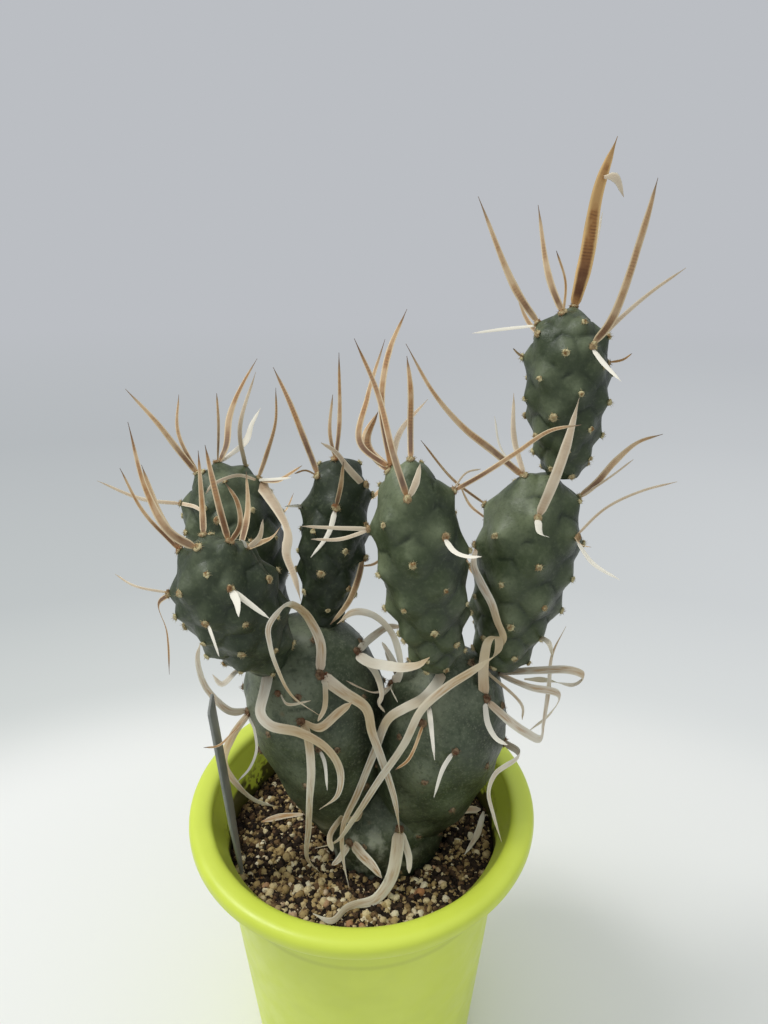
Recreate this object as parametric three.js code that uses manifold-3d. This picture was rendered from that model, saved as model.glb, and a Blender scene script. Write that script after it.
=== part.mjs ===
// Potted paper spine cactus: nine oval stem joints, with flat papery spines at their areoles, in a
// round plastic pot of gritty soil with a blank plant label. Millimetres, +Z up. The origin is the
// middle of the pot's flat underside, and the plant's front faces -Y.

import * as THREE from 'three'
import { ConvexGeometry } from 'three/addons/geometries/ConvexGeometry.js'
import { mergeVertices } from 'three/addons/utils/BufferGeometryUtils.js'
import Module from 'manifold-3d'

const wasm = await Module()
wasm.setup()

// Gaps and small sizes
const GAP = 0.35 // between neighbouring pieces
const MERGE = 1e-4 // vertices closer than this are one
const BLADE = 0.7 // thickness of a papery spine
const PAD_RADIUS = 2.2 // woolly cushion that a spine grows from
const PAD_SINK = 0.3 // how far the cushion's middle lies under the tubercle's tip
const AREOLE_SPACING = 4.6 // a bare areole this near to a spine's own is left out
const AREOLE_MERGE = 3 // spines that start this near to each other share an areole

// Pot
const POT = {
  height: 116.4,
  footRadius: 37,
  footRound: 4.5, // rounding of the bottom corner
  lowRadius: 42.2, // outside, just above the bottom corner
  highRadius: 50.1, // outside, under the rim
  wall: 1.8,
  floor: 3,
  rimRadius: 60, // outermost
  rimInner: 51.8,
  rimHeight: 6.8,
  rimSquare: 0.8, // below 1 squares its round section
  drainRadius: 3,
  drainRing: 24,
  drains: 5,
  drainSides: 12,
  sides: 40,
  cornerMiddle: [2.6, 1.1], // outwards from the foot and up, halfway round its corner
  cornerEnd: 0.6, // how far inside the wall's line the corner ends
  wallStart: 12, // height where the wall's straight part begins
  rimNeck: 2.4, // where the wall ends, below the rim
  rimLip: [1.4, 1.2], // where the rim's underside starts: inwards of its middle, and below it
  rimInside: 2, // where the inside of the wall ends, below the rim
  floorCorner: 0.6, // how much wider the floor is than the foot, inside
}

// Soil
const SOIL = {
  level: 96,
  sides: 32,
  rings: [0.8, 0.6, 0.4, 0.2], // shares of its radius
  holeSides: 24,
  holeRoom: 1, // round the stem
  grains: 40,
  grainSmall: 1.4,
  grainLarge: 2.6,
  grainRise: 0.2, // how high a grain's middle lies, as a share of its size
  seed: 11,
  reach: 43, // how far out the grains lie
  offStem: 3.5, // what the grains keep clear of
  offLabel: 3,
  offSpines: 6,
  fallenRise: 0.3, // how high a fallen spine's middle lies, as a share of its thickness
}

// Plant label: a blank strip, pushed in beside the wall and leaning out over the rim
const LABEL = { width: 11, thickness: 0.9, point: 34, turn: 0.12, buried: 8 }
LABEL.atSoil = new THREE.Vector3(-41, -17.3, SOIL.level)
LABEL.top = new THREE.Vector3(-46.2, -14, 166)

// Stem joints, each grown after the ones above it in this list, which it is seated against. base
// and tip are the ends of its axis. It is widest at a share of its length, and its neck is a
// share of its greatest radius. Its areoles climb in a spiral from the first one's azimuth in
// degrees; hand gives the spiral's direction, and crowding above 1 packs them towards the base.
const GOLDEN = 137.5
const STEM_SEAT = 1.2 // depth of the stem's hole below the middle of its foot
const JOINTS = [
  { name: 'base', base: [8, 2, 84], tip: [8, 3, 121], radius: 21.4, widest: 0.4, neck: 0.93,
    areoles: 20, crowding: 1, first: 40, hand: 1, lump: 0.5 },
  { name: 'right', base: [17.5, 1, 99], tip: [33, 3, 173.5], radius: 21.6, widest: 0.58, neck: 0.4,
    areoles: 34, crowding: 1, first: 80, hand: 1, lump: 0.8 },
  { name: 'left', base: [-5, 2, 98], tip: [-21, 8, 183], radius: 23, widest: 0.66, neck: 0.36,
    areoles: 34, crowding: 1, first: 20, hand: -1, lump: 0.8 },
  { name: 'center_front', base: [24.5, -8, 177], tip: [14, -12, 243.5], radius: 12.8, widest: 0.6,
    neck: 0.46, areoles: 41, crowding: 1.4, first: 96, hand: 1, lump: 1.7 },
  { name: 'right_upper', base: [45.5, 4, 168.5], tip: [56, 8, 233.5], radius: 15.3, widest: 0.64,
    neck: 0.42, areoles: 41, crowding: 1.1, first: 24, hand: -1, lump: 1.7 },
  { name: 'center_back', base: [-13, 8, 177.5], tip: [-5, 20, 234.5], radius: 10.7, widest: 0.6,
    neck: 0.35, areoles: 38, crowding: 1.1, first: 300, hand: -1, lump: 1.5 },
  { name: 'left_front', base: [-28, -8, 178], tip: [-41, -26, 225], radius: 14, widest: 0.58,
    neck: 0.45, areoles: 39, crowding: 0.8, first: 18, hand: 1, lump: 1.7 },
  { name: 'left_back', base: [-34, 14, 170], tip: [-47, 30, 227.5], radius: 15.9, widest: 0.62,
    neck: 0.4, areoles: 41, crowding: 0.8, first: 198, hand: -1, lump: 1.7 },
  { name: 'top', base: [61.5, 8, 233], tip: [59.5, 12, 281], radius: 11.7, widest: 0.62, neck: 0.38,
    areoles: 38, crowding: 1.1, first: 60, hand: -1, lump: 1.5 },
]
const NECK_SIDES = 10
const BELOW_POWER = 0.85 // how quickly a joint swells above its neck
const ABOVE_POWER = 2.2 // how square its shoulders are
const CREASE = 0.35 // depth of the valleys between tubercles

// Spines
const TO_VIEWER = new THREE.Vector3(0, -0.9, 0.43)
const UPWARD = new THREE.Vector3(0, 0, 1)
const FACE_OUT = 0.4 // how far a blade's faces turn from the front towards the skin's own direction
const BLADE_MEMORY = 0.6 // how strongly a blade keeps the facing of the step before
const BLADE_STEP = 7
const ROOT_SINK = 1

// Spines on the backs of the joints, on some areoles that face away from the front. Those on the
// young upper joints are straight, and those on the two old lower joints hang in curls.
const BACK = { seed: 5, facing: 0.5, low: 0.3, high: 0.85, every: 2, clear: 4 }
BACK.straightLengths = [14, 24]
BACK.curledLengths = [28, 42]
BACK.straightWidths = [1.8, 2.2, 1.5, 0.6]
BACK.curledWidths = [3, 3.2, 2.8, 2, 0.8]
// Stages of a curl: out from the skin, aside and up, in shares of the spine's length
BACK.curl = [[0, 0, 0], [0.28, 0.04, 0.1], [0.34, 0.16, -0.12], [0.24, 0.22, -0.42], [0.2, 0.06, -0.72]]
const OLD_JOINTS = ['left', 'right']

// Spines that show, by joint and bunch: widths at even stages from root to tip, and the points
// that the spine runs through. Those under skin are one piece with their joint.
const SPINES = {
  top: {
    crown: [
      { wide: [2.6, 4.2, 4, 3, 0.6], path: [[62, 16, 280], [64, 17, 294], [66, 19, 312], [70, 21, 325]] },
      { wide: [1.4, 1.4, 0.8], path: [[63, 15, 280], [66, 20, 293], [69, 24, 306]] },
    ],
    crown_left: [
      { wide: [1.9, 1.9, 0.6], path: [[57, 8, 280], [53, 12, 290], [50, 20, 308]] },
      { wide: [0.8, 0.7, 0.6], path: [[59, 8, 281], [57, 9, 289], [54, 10, 297]] },
    ],
    left: [
      { wide: [1.7, 2.3, 0.6], path: [[52, 15, 276], [45, 18, 286], [34, 25, 310]] },
      { wide: [0.9, 1.1, 0.6], path: [[51, 15, 275], [42, 16, 275], [33, 15, 274]] },
    ],
    right: [
      { wide: [1.9, 2.4, 2, 0.6], path: [[64, 1, 273], [68, -1, 281], [75, 4, 304], [78, 8, 315]] },
      { wide: [1.4, 1.1, 0.6], path: [[65, 1, 273], [71, -1, 282], [77, -2, 288], [85, -2, 294]] },
      { wide: [1.4, 1.6, 0.6], path: [[64, 1, 272], [66, -5, 270], [69, -12, 267]] },
    ],
  },
  right_upper: {
    top_left: [
      { wide: [2.1, 2.4, 1.6, 0.6],
        path: [[48, 5, 233], [40, 7, 241], [31, 8, 248], [22, 10, 258], [14, 15, 271]] },
      { wide: [1.5, 1.8, 0.6], path: [[48, 9, 232], [47, 14, 243], [47, 20, 255]] },
      { wide: [0.9, 0.7, 0.6], path: [[46, 9, 232], [43, 12, 240], [41, 16, 249]] },
    ],
    front: [
      { wide: [2.6, 3.1, 2.8, 0.6], path: [[52, -6, 225], [55, -7, 236], [58, -6, 247], [61, -3, 260]] },
      { wide: [2.3, 2, 0.6], path: [[52, -7, 225], [51, -15, 225], [52, -22, 227]] },
    ],
    top_right: [
      { wide: [1.8, 2.4, 2.4, 1.2, 0.6],
        path: [[66, 8, 225], [72, 9, 230], [78, 12, 236], [85, 15, 241], [93, 17, 243]] },
      { wide: [0.9, 0.7, 0.6], path: [[66, 6, 225], [76, 9, 232], [83, 11, 237]] },
    ],
    right: [
      { wide: [0.9, 0.9, 0.6], path: [[64, -4, 218], [72, -3, 227], [82, -2, 232], [92, -2, 235]] },
      { wide: [1.2, 1.4, 0.6], path: [[64, -5, 217], [68, -10, 213], [75, -15, 210]] },
    ],
    left: [
      { wide: [0.9, 0.9, 0.6], path: [[39, 13, 221], [29, 15, 229], [19, 17, 241]] },
    ],
    down: [
      { wide: [1.4, 2.1, 2.6, 2.5, 2.4, 2.4, 1.8],
        path: [[38, 5, 211], [35, 0, 207], [37, -5, 203], [40, -8, 198], [42, -9, 192], [44, -9, 187],
          [44, -8, 182]] },
    ],
  },
  center_front: {
    top_right: [
      { wide: [1.4, 1.4, 1.2, 0.6],
        path: [[27, -10, 235], [35, -9, 240], [44, -8, 246], [53, -7, 252], [61, -8, 254]] },
      { wide: [0.7, 0.6, 0.6], path: [[27, -10, 236], [31, -3, 238], [36, 3, 237]] },
    ],
    front: [
      { wide: [1.9, 1.8, 1.5, 0.6], path: [[14, -21, 237], [10, -19, 250], [6, -12, 264], [0, -7, 277]] },
      { wide: [1.6, 2.1, 0.8], path: [[14, -21, 237], [16, -22, 243], [17, -22, 248]] },
    ],
    low_right: [
      { wide: [1.6, 1.6, 1.3, 0.6],
        path: [[24, -22, 227], [26, -28, 226], [29, -33, 227], [32, -37, 229]] },
    ],
    low_left: [
      { wide: [1.4, 1.1, 0.6], path: [[4, -13, 225], [-6, -14, 226], [-15, -15, 227]] },
      { wide: [1.1, 1.1, 0.6], path: [[4, -10, 223], [-5, -11, 221], [-13, -11, 221]] },
    ],
    top: [
      { wide: [1.6, 1.9, 1.7, 0.6], path: [[17, -9, 244], [15, -4, 252], [15, 0, 262], [14, 4, 270]] },
    ],
    back: [
      { wide: [1.7, 1.9, 1.9, 0.6], path: [[10, -9, 241], [7, -2, 258], [9, 4, 271], [14, 8, 282]] },
      { wide: [1.7, 1.7, 0.6], path: [[10, -9, 241], [12, -3, 250], [20, 3, 258]] },
      { wide: [1.7, 1.9, 1.7, 0.6], path: [[8, -10, 239], [1, -5, 248], [3, 1, 259], [8, 7, 274]] },
      { wide: [1.4, 1.4, 0.6], path: [[8, -9, 239], [2, 1, 247], [6, 11, 252]] },
    ],
  },
  center_back: {
    top_left: [
      { wide: [1.9, 2.1, 1.8, 0.6],
        path: [[-13, 14, 230], [-17, 17, 242], [-21, 20, 252], [-26, 24, 262]] },
      { wide: [0.7, 0.6, 0.6], path: [[-14, 15, 230], [-16, 12, 233], [-19, 7, 234]] },
    ],
    top: [
      { wide: [1.2, 1.5, 0.6], path: [[-7, 17, 234], [-6, 19, 246], [-6, 26, 266]] },
      { wide: [1.2, 1.2, 0.6], path: [[-9, 17, 234], [-9, 19, 243], [-8, 22, 254]] },
    ],
    front: [
      { wide: [1.5, 1.5, 0.6], path: [[-7, 6, 223], [-5, 3, 232], [-4, 1, 240]] },
      { wide: [1.8, 1.5, 0.6], path: [[-8, 6, 222], [-9, 1, 217], [-14, -5, 212]] },
    ],
    top_right: [
      { wide: [2.5, 2.4, 1.5, 0.9], path: [[2, 14, 227], [-3, 11, 234], [-7, 10, 240], [-11, 9, 243]] },
    ],
    low_right: [
      { wide: [2.2, 2.2, 1.9, 1.2], path: [[2, 10, 204], [-1, 3, 198], [-4, -1, 193], [-9, -4, 188]] },
    ],
  },
  left_back: {
    top_left: [
      { wide: [2, 2, 1.6, 0.6], path: [[-52, 28, 225], [-60, 30, 234], [-66, 32, 242], [-76, 36, 252]] },
      { wide: [1.3, 1.3, 0.6], path: [[-53, 29, 225], [-60, 34, 238], [-60, 40, 249]] },
    ],
    top: [
      { wide: [2.3, 2.6, 2.3, 1.3, 0.6],
        path: [[-44, 29, 230], [-44, 31, 234], [-43, 36, 243], [-39, 40, 252], [-34, 44, 260]] },
      { wide: [1.3, 2.6, 1.6, 0.6],
        path: [[-41, 31, 229], [-38, 34, 235], [-36, 36, 240], [-33, 38, 245]] },
    ],
    right: [
      { wide: [1.6, 2.2, 1.3, 0.6],
        path: [[-33, 26, 224], [-26, 22, 226], [-22, 20, 229], [-18, 19, 232]] },
      { wide: [1.3, 1.6, 1, 0.6],
        path: [[-33, 28, 224], [-31, 31, 231], [-28, 36, 241], [-28, 41, 251]] },
      { wide: [4.2, 3.7, 2.2, 3.1, 2.3, 1.8, 0.6],
        path: [[-31, 24, 222], [-26, 16, 218], [-22, 7, 214], [-22, 1, 210], [-19, -5, 205],
          [-17, -10, 200]] },
    ],
    left: [
      { wide: [1.3, 1.3, 0.6], path: [[-58, 25, 216], [-72, 25, 218], [-86, 26, 224]] },
      { wide: [1.3, 1.2, 0.6], path: [[-57, 22, 218], [-50, 9, 222], [-46, 2, 223]] },
    ],
    skin: [
      { wide: [1.2, 1.2, 0.6], path: [[-44, 10, 217], [-41, 5, 217], [-39, 2, 217]] },
    ],
  },
  left_front: {
    top_left: [
      { wide: [2.4, 2.3, 2.1, 1.3, 0.6],
        path: [[-44, -29, 224], [-48, -27, 231], [-54, -23, 241], [-59, -15, 257]] },
    ],
    left: [
      { wide: [1.9, 2.4, 2.2, 0.6], path: [[-47, -20, 221], [-54, -16, 232], [-58, -12, 244]] },
      { wide: [1.4, 1.1, 0.6], path: [[-48, -20, 221], [-58, -16, 232], [-64, -12, 243]] },
    ],
    top: [
      { wide: [1.9, 1.9, 1.4, 0.6], path: [[-41, -19, 226], [-42, -15, 233], [-43, -9, 247]] },
    ],
    top_right: [
      { wide: [1.9, 1.9, 1.6, 0.6],
        path: [[-34, -23, 225], [-36, -20, 234], [-38, -17, 242], [-40, -13, 250]] },
      { wide: [1.6, 1.6, 1.3, 0.6],
        path: [[-33, -23, 225], [-30, -25, 232], [-30, -26, 239], [-32, -28, 245]] },
    ],
    right: [
      { wide: [1.1, 1.6, 1, 0.6],
        path: [[-29, -21, 223], [-25, -25, 227], [-21, -30, 231], [-18, -34, 236]] },
    ],
    front: [
      { wide: [2.3, 2, 0.6], path: [[-32, -33, 217], [-30, -37, 216], [-29, -41, 214]] },
      { wide: [1.6, 1.6, 1.3, 0.6], path: [[-31, -32, 217], [-27, -35, 214], [-22, -37, 211]] },
    ],
    skin: [
      { wide: [1.3, 1, 0.6], path: [[-39, -34, 208], [-37, -38, 206], [-35, -41, 202]] },
    ],
    far_left: [
      { wide: [1.4, 1.4, 1.2, 0.6],
        path: [[-50, -24, 211], [-56, -20, 205], [-56, -16, 193], [-57, -16, 178]] },
      { wide: [0.8, 0.7, 0.6], path: [[-50, -25, 213], [-61, -22, 212], [-68, -17, 213]] },
    ],
  },
  left: {
    front: [
      { wide: [3.1, 3.1, 2.8, 2.3, 1.9, 1.6, 1.3, 1.1, 0.7, 0.6],
        path: [[-12, -11, 174], [-12, -6, 182], [-15, -5, 190], [-18, -13, 200], [-20, -27, 208],
          [-23, -33, 206], [-23, -33, 200], [-22, -29, 189], [-19, -24, 176], [-12, -20, 166]] },
      { wide: [4.3, 3.7, 3.1, 2.8, 2.6, 1.9, 0.6],
        path: [[-11, -11, 173], [-5, -14, 170], [2, -14, 164], [4, -14, 154], [7, -16, 145],
          [11, -19, 132], [13, -22, 119]] },
    ],
    mid: [
      { wide: [2.8, 2.8, 2.8, 2.2, 2, 1.3, 0.6],
        path: [[-18, -17, 161], [-16, -19, 157], [-15, -22, 147], [-16, -22, 134], [-17, -21, 120],
          [-18, -20, 106], [-14, -18, 97]] },
      { wide: [1.5, 2.7, 2.7, 1.8],
        path: [[-17, -17, 161], [-12, -21, 162], [-6, -20, 167], [-2, -19, 170]] },
    ],
    upper: [
      { wide: [3.8, 4, 3.7, 3.3, 3, 2.5, 2.5, 1.6, 0.6],
        path: [[-29, -7, 174], [-29, -13, 171], [-30, -19, 166], [-27, -21, 163], [-18, -22, 161],
          [-10, -22, 155], [-6, -22, 146], [-7, -23, 137], [-13, -22, 130]] },
    ],
    side: [
      { wide: [2.9, 2.9, 2.6, 1.9, 0.9],
        path: [[-37, -5, 155], [-42, -7, 157], [-49, -6, 165], [-50, -9, 178], [-48, -11, 186]] },
      { wide: [2, 2.7, 3, 3, 2.4, 1],
        path: [[-37, -2, 150], [-43, -4, 144], [-46, -7, 136], [-42, -9, 128], [-36, -10, 122],
          [-29, -10, 119]] },
      { wide: [1, 1, 0.8, 0.6],
        path: [[-36, -5, 150], [-34, -10, 144], [-36, -13, 139], [-40, -15, 135]] },
    ],
    right_top: [
      { wide: [3.9, 3.8, 3.4, 3, 2.1, 1.2],
        path: [[-1, 0, 175], [3, -5, 175], [9, -10, 177], [14, -15, 180], [18, -18, 183],
          [21, -20, 187]] },
      { wide: [2.6, 2.6, 2.2, 1], path: [[0, 3, 174], [4, 9, 175], [9, 7, 180], [14, 4, 182]] },
      { wide: [1.9, 2.2, 1.6, 0.6], path: [[1, 1, 174], [5, -4, 170], [7, -9, 165], [6, -11, 162]] },
    ],
    skin: [
      { wide: [1.3, 1.3, 0.6], path: [[-13, -18, 151], [-11, -20, 148], [-10, -24, 140]] },
    ],
  },
  right: {
    mid_left: [
      { wide: [3.3, 3.2, 2.9, 2.5, 2.2, 0.9],
        path: [[10, 2, 161], [13, -2, 170], [10, -1, 183], [4, 0, 189], [-2, 0, 190], [-7, -2, 187]] },
      { wide: [1.3, 1.3, 0.9, 0.6], path: [[10, 2, 160], [5, -5, 163], [0, -9, 168], [-4, -11, 172]] },
    ],
    front: [
      { wide: [3.5, 3.4, 3.4, 3.1, 2.9, 2.6, 2.3, 1.7, 1.3, 0.7],
        path: [[26, -6, 172], [24, -10, 170], [20, -13, 167], [14, -13, 163], [9, -12, 158],
          [5, -12, 146], [-1, -15, 130], [-6, -17, 117], [-6, -20, 106], [-4, -24, 97]] },
    ],
    right_front: [
      { wide: [3.8, 3.5, 3.1, 2.4, 2.4, 2.6, 2.7, 2.4, 2.5, 2.2, 1.9, 1.3, 0.7],
        path: [[40, -10, 164], [39, -7, 174], [40, -6, 183], [42, -11, 188], [41, -18, 187],
          [35, -21, 184], [26, -20, 176], [19, -19, 167], [14, -19, 154], [6, -20, 140],
          [-2, -21, 125], [-8, -22, 116], [-15, -22, 113]] },
      { wide: [1.6, 1.9, 1.5, 1.2],
        path: [[39, -11, 162], [40, -17, 160], [42, -21, 158], [45, -24, 158]] },
      { wide: [2.2, 2.8, 2.8, 2.6, 2, 1.7, 1, 0.6],
        path: [[41, -10, 162], [47, -14, 159], [53, -14, 154], [58, -12, 150], [60, -6, 151],
          [62, 0, 160], [63, 4, 171], [67, 6, 181]] },
    ],
    right_back: [
      { wide: [2.7, 2.6, 2.6, 2.6, 2.6, 2.7, 2.4],
        path: [[45, 6, 163], [58, 0, 168], [67, -4, 171], [72, -3, 168], [70, 0, 162], [62, 4, 161],
          [55, 6, 160]] },
      { wide: [2.7, 2.6, 2.6, 2, 1.4],
        path: [[46, 5, 163], [55, -2, 163], [65, -2, 160], [64, 1, 150], [57, 2, 141]] },
    ],
    low_right: [
      { wide: [2.3, 2.6, 2.2, 1.6, 1.3, 0.6],
        path: [[47, -5, 143], [51, -15, 146], [43, -20, 143], [41, -21, 137], [43, -21, 127],
          [46, -23, 117]] },
    ],
    skin: [
      { wide: [1.9, 1.8, 0.6], path: [[21, -13, 164], [22, -18, 162], [23, -26, 154]] },
      { wide: [1.6, 1.5, 0.6], path: [[30, -20, 151], [26, -23, 148], [23, -28, 141]] },
    ],
  },
  base: {
    left: [
      { wide: [4.1, 4, 3.3, 1.6], path: [[-4, -14, 107], [0, -19, 107], [4, -23, 106], [7, -26, 104]] },
      { wide: [2.7, 2, 1], path: [[-6, -14, 103], [-8, -17, 102], [-10, -19, 102]] },
    ],
    front: [
      { wide: [4.4, 4.3, 4, 3.3, 2.3, 1.9, 1.3],
        path: [[13, -14, 113], [12, -20, 109], [10, -25, 103], [5, -29, 98], [-4, -32, 98],
          [-9, -37, 98], [-15, -36, 100]] },
      { wide: [2.7, 2.3, 1.3], path: [[15, -15, 111], [16, -20, 107], [16, -24, 104]] },
    ],
  },
}

// Old spines that have dropped onto the soil
const FALLEN = [
  { wide: [3.6, 3.8, 3.4], path: [[31.5, 8], [38, 10], [44, 10]] },
  { wide: [1.8, 2.4, 0.8], path: [[45, 9], [41.5, -1], [36, -10.5]] },
  { wide: [1.6, 2, 1], path: [[-37, 4], [-31, 7], [-21.5, 8.5]] },
]

const PLASTIC = new THREE.MeshStandardMaterial({ color: 0xb9cf2f, roughness: 0.45, metalness: 0 })
const EARTH = new THREE.MeshStandardMaterial({ color: 0x5a4636, roughness: 1, metalness: 0 })
const GREY = new THREE.MeshStandardMaterial({ color: 0xb9bec2, roughness: 0.6, metalness: 0 })
const SKIN = new THREE.MeshStandardMaterial({ color: 0x4a6152, roughness: 0.7, metalness: 0 })
const PAPER = new THREE.MeshStandardMaterial({ color: 0xd6c3a0, roughness: 0.85, metalness: 0 })

// Turns a closed three.js geometry into a solid
function toSolid(geometry) {
  const bare = geometry.clone()
  bare.deleteAttribute('normal')
  bare.deleteAttribute('uv')
  const merged = mergeVertices(bare, MERGE)
  return new wasm.Manifold(new wasm.Mesh({
    numProp: 3,
    vertProperties: new Float32Array(merged.attributes.position.array),
    triVerts: new Uint32Array(merged.index.array),
  }))
}

// Turns a solid back into a named, coloured mesh
function toMesh(name, body, material) {
  const { vertProperties, triVerts } = body.getMesh()
  const geometry = new THREE.BufferGeometry()
  geometry.setAttribute('position', new THREE.Float32BufferAttribute(vertProperties, 3))
  geometry.setIndex(new THREE.Uint32BufferAttribute(triVerts, 1))
  geometry.computeVertexNormals()
  const mesh = new THREE.Mesh(geometry, material)
  mesh.name = name
  return mesh
}

// The largest piece that a cut leaves
function largestOf(body) {
  const pieces = body.decompose()
  return pieces.reduce((best, piece) => (piece.volume() > best.volume() ? piece : best))
}

// A repeatable source of draws between 0 and 1
function drawsFrom(seed) {
  let state = seed
  return () => {
    state = (state * 1664525 + 1013904223) % 4294967296
    return state / 4294967296
  }
}

// A value read from an evenly spaced list, at a share of its length
function ramp(values, share) {
  const place = share * (values.length - 1)
  const low = Math.min(Math.floor(place), values.length - 2)
  return THREE.MathUtils.lerp(values[low], values[low + 1], place - low)
}

const toVector = (point) => new THREE.Vector3(...point)

// A stem joint's smooth skin, as a surface of revolution about its own leaning axis
class Joint {
  constructor(spec) {
    Object.assign(this, spec)
    this.foot = toVector(spec.base)
    this.axis = toVector(spec.tip).sub(this.foot)
    this.length = this.axis.length()
    this.axis.normalize()
    this.right = new THREE.Vector3(1, 0, 0).addScaledVector(this.axis, -this.axis.x).normalize()
    this.back = new THREE.Vector3().crossVectors(this.axis, this.right)
  }

  radiusAt(height) {
    if (height < this.widest) {
      const swell = Math.sin((Math.PI / 2) * (Math.max(height, 0) / this.widest)) ** BELOW_POWER
      return this.radius * (this.neck + (1 - this.neck) * swell)
    }
    const share = (Math.min(height, 1) - this.widest) / (1 - this.widest)
    return this.radius * Math.sqrt(1 - share ** ABOVE_POWER)
  }

  // Direction straight out of the skin at an azimuth in radians and a height from 0 to 1
  normalAt(azimuth, height) {
    const step = 0.002
    const high = Math.min(height + step, 1)
    const low = Math.max(height - step, 0)
    const slope = (this.radiusAt(high) - this.radiusAt(low)) / ((high - low) * this.length)
    return this.radial(azimuth).addScaledVector(this.axis, -slope).normalize()
  }

  radial(azimuth) {
    const out = this.right.clone().multiplyScalar(Math.cos(azimuth))
    return out.addScaledVector(this.back, Math.sin(azimuth))
  }

  // Point of the skin, lifted off it by some mm
  point(azimuth, height, lift) {
    const point = this.foot.clone().addScaledVector(this.axis, height * this.length)
    point.addScaledVector(this.radial(azimuth), this.radiusAt(height))
    return point.addScaledVector(this.normalAt(azimuth, height), lift)
  }

  // Azimuth and height of the skin beside any point
  locate(point) {
    const arm = point.clone().sub(this.foot)
    const height = THREE.MathUtils.clamp(arm.dot(this.axis) / this.length, 0, 1)
    return { azimuth: Math.atan2(arm.dot(this.back), arm.dot(this.right)), height }
  }

  // About how far a point lies outside the skin
  clearance(point) {
    const arm = point.clone().sub(this.foot)
    const along = arm.dot(this.axis)
    const height = THREE.MathUtils.clamp(along / this.length, 0, 1)
    const aside = arm.addScaledVector(this.axis, -along).length() - this.radiusAt(height)
    const beyond = Math.abs(along - height * this.length)
    return beyond > 0 ? Math.hypot(beyond, Math.max(aside, 0)) : aside
  }

  // The spiral of areoles, without those beside an areole that carries spines
  spiral(taken) {
    const sites = []
    for (let k = 0; k < this.areoles; k += 1) {
      const azimuth = THREE.MathUtils.degToRad(this.first + this.hand * GOLDEN * k)
      const site = { azimuth, height: ((k + 0.5) / this.areoles) ** this.crowding, areole: true }
      const spot = this.point(site.azimuth, site.height, 0)
      if (taken.every((own) => own.distanceTo(spot) > AREOLE_SPACING)) sites.push(site)
    }
    return sites
  }
}

// A joint's skin with a tubercle at each areole: the hull of its areoles, with every face split
// in four, its corners raised as tubercles and its new points laid on the skin as creases
function jointGeometry(joint, areoles, lift) {
  const sites = [...areoles, { azimuth: 0, height: 1, areole: false }]
  for (let k = 0; k < NECK_SIDES; k += 1) {
    sites.push({ azimuth: (k * 2 * Math.PI) / NECK_SIDES, height: 0, neck: true })
  }
  sites.forEach((site) => {
    site.spot = joint.point(site.azimuth, site.height, 0)
    site.place = joint.point(site.azimuth, site.height, lift + (site.areole ? joint.lump : 0))
  })
  const hull = new ConvexGeometry(sites.map((site) => site.spot)).attributes.position
  const corner = (index) => {
    const spot = new THREE.Vector3().fromBufferAttribute(hull, index)
    return sites.reduce((best, site) =>
      (site.spot.distanceTo(spot) < best.spot.distanceTo(spot) ? site : best))
  }
  const middle = (one, other) => {
    if (one.neck && other.neck) return one.place.clone().add(other.place).multiplyScalar(0.5)
    const between = joint.locate(one.spot.clone().add(other.spot).multiplyScalar(0.5))
    return joint.point(between.azimuth, between.height, lift - CREASE)
  }
  const points = []
  for (let face = 0; face < hull.count; face += 3) {
    const [a, b, c] = [corner(face), corner(face + 1), corner(face + 2)]
    const [ab, bc, ca] = [middle(a, b), middle(b, c), middle(c, a)]
    points.push(a.place, ab, ca, ab, b.place, bc, ca, bc, c.place, ab, bc, ca)
  }
  return new THREE.BufferGeometry().setFromPoints(points)
}

// A flat papery blade of changing width along a path, its faces turned towards facing
function bladeGeometry(path, widths, facing) {
  const curve = new THREE.CatmullRomCurve3(path)
  const steps = Math.max(3, Math.round(curve.getLength() / BLADE_STEP))
  const points = []
  let normal = facing.clone()
  for (let step = 0; step <= steps; step += 1) {
    const share = curve.getUtoTmapping(step / steps)
    const along = curve.getTangent(share)
    normal.multiplyScalar(BLADE_MEMORY).add(facing)
    normal.addScaledVector(along, -normal.dot(along)).normalize()
    const side = new THREE.Vector3().crossVectors(normal, along)
    const middle = curve.getPoint(share)
    for (const [across, through] of [[-1, -1], [1, -1], [1, 1], [-1, 1]]) {
      const edge = middle.clone().addScaledVector(side, (across * ramp(widths, share)) / 2)
      points.push(edge.addScaledVector(normal, (through * BLADE) / 2))
    }
  }
  const faces = [0, 2, 1, 0, 3, 2]
  for (let step = 0; step < steps; step += 1) {
    const near = step * 4
    const far = near + 4
    // Both broad faces are split from the same edge to the same edge
    faces.push(near, near + 1, far + 1, near, far + 1, far)
    faces.push(near + 2, near + 3, far + 2, near + 3, far + 3, far + 2)
    faces.push(near + 1, near + 2, far + 1, near + 2, far + 2, far + 1)
    faces.push(near, far, near + 3, far, far + 3, near + 3)
  }
  const last = steps * 4
  faces.push(last, last + 1, last + 2, last, last + 2, last + 3)
  const geometry = new THREE.BufferGeometry().setFromPoints(points)
  geometry.setIndex(faces)
  return geometry
}

// Where each spine leaves its joint, which way it runs and which way its faces look
const joints = JOINTS.map((spec) => new Joint(spec))
const jointNamed = (name) => joints.find((joint) => joint.name === name)
const spines = Object.entries(SPINES).flatMap(([on, bunches]) => (
  Object.entries(bunches).flatMap(([bunch, members]) => (
    members.map(({ wide, path }) => {
      const own = bunch === 'skin' ? path[0] : members[0].path[0]
      return rootedSpine(on, bunch, wide, path.map(toVector), toVector(own))
    })
  ))
))
joints.forEach(addBackSpines)

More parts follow.
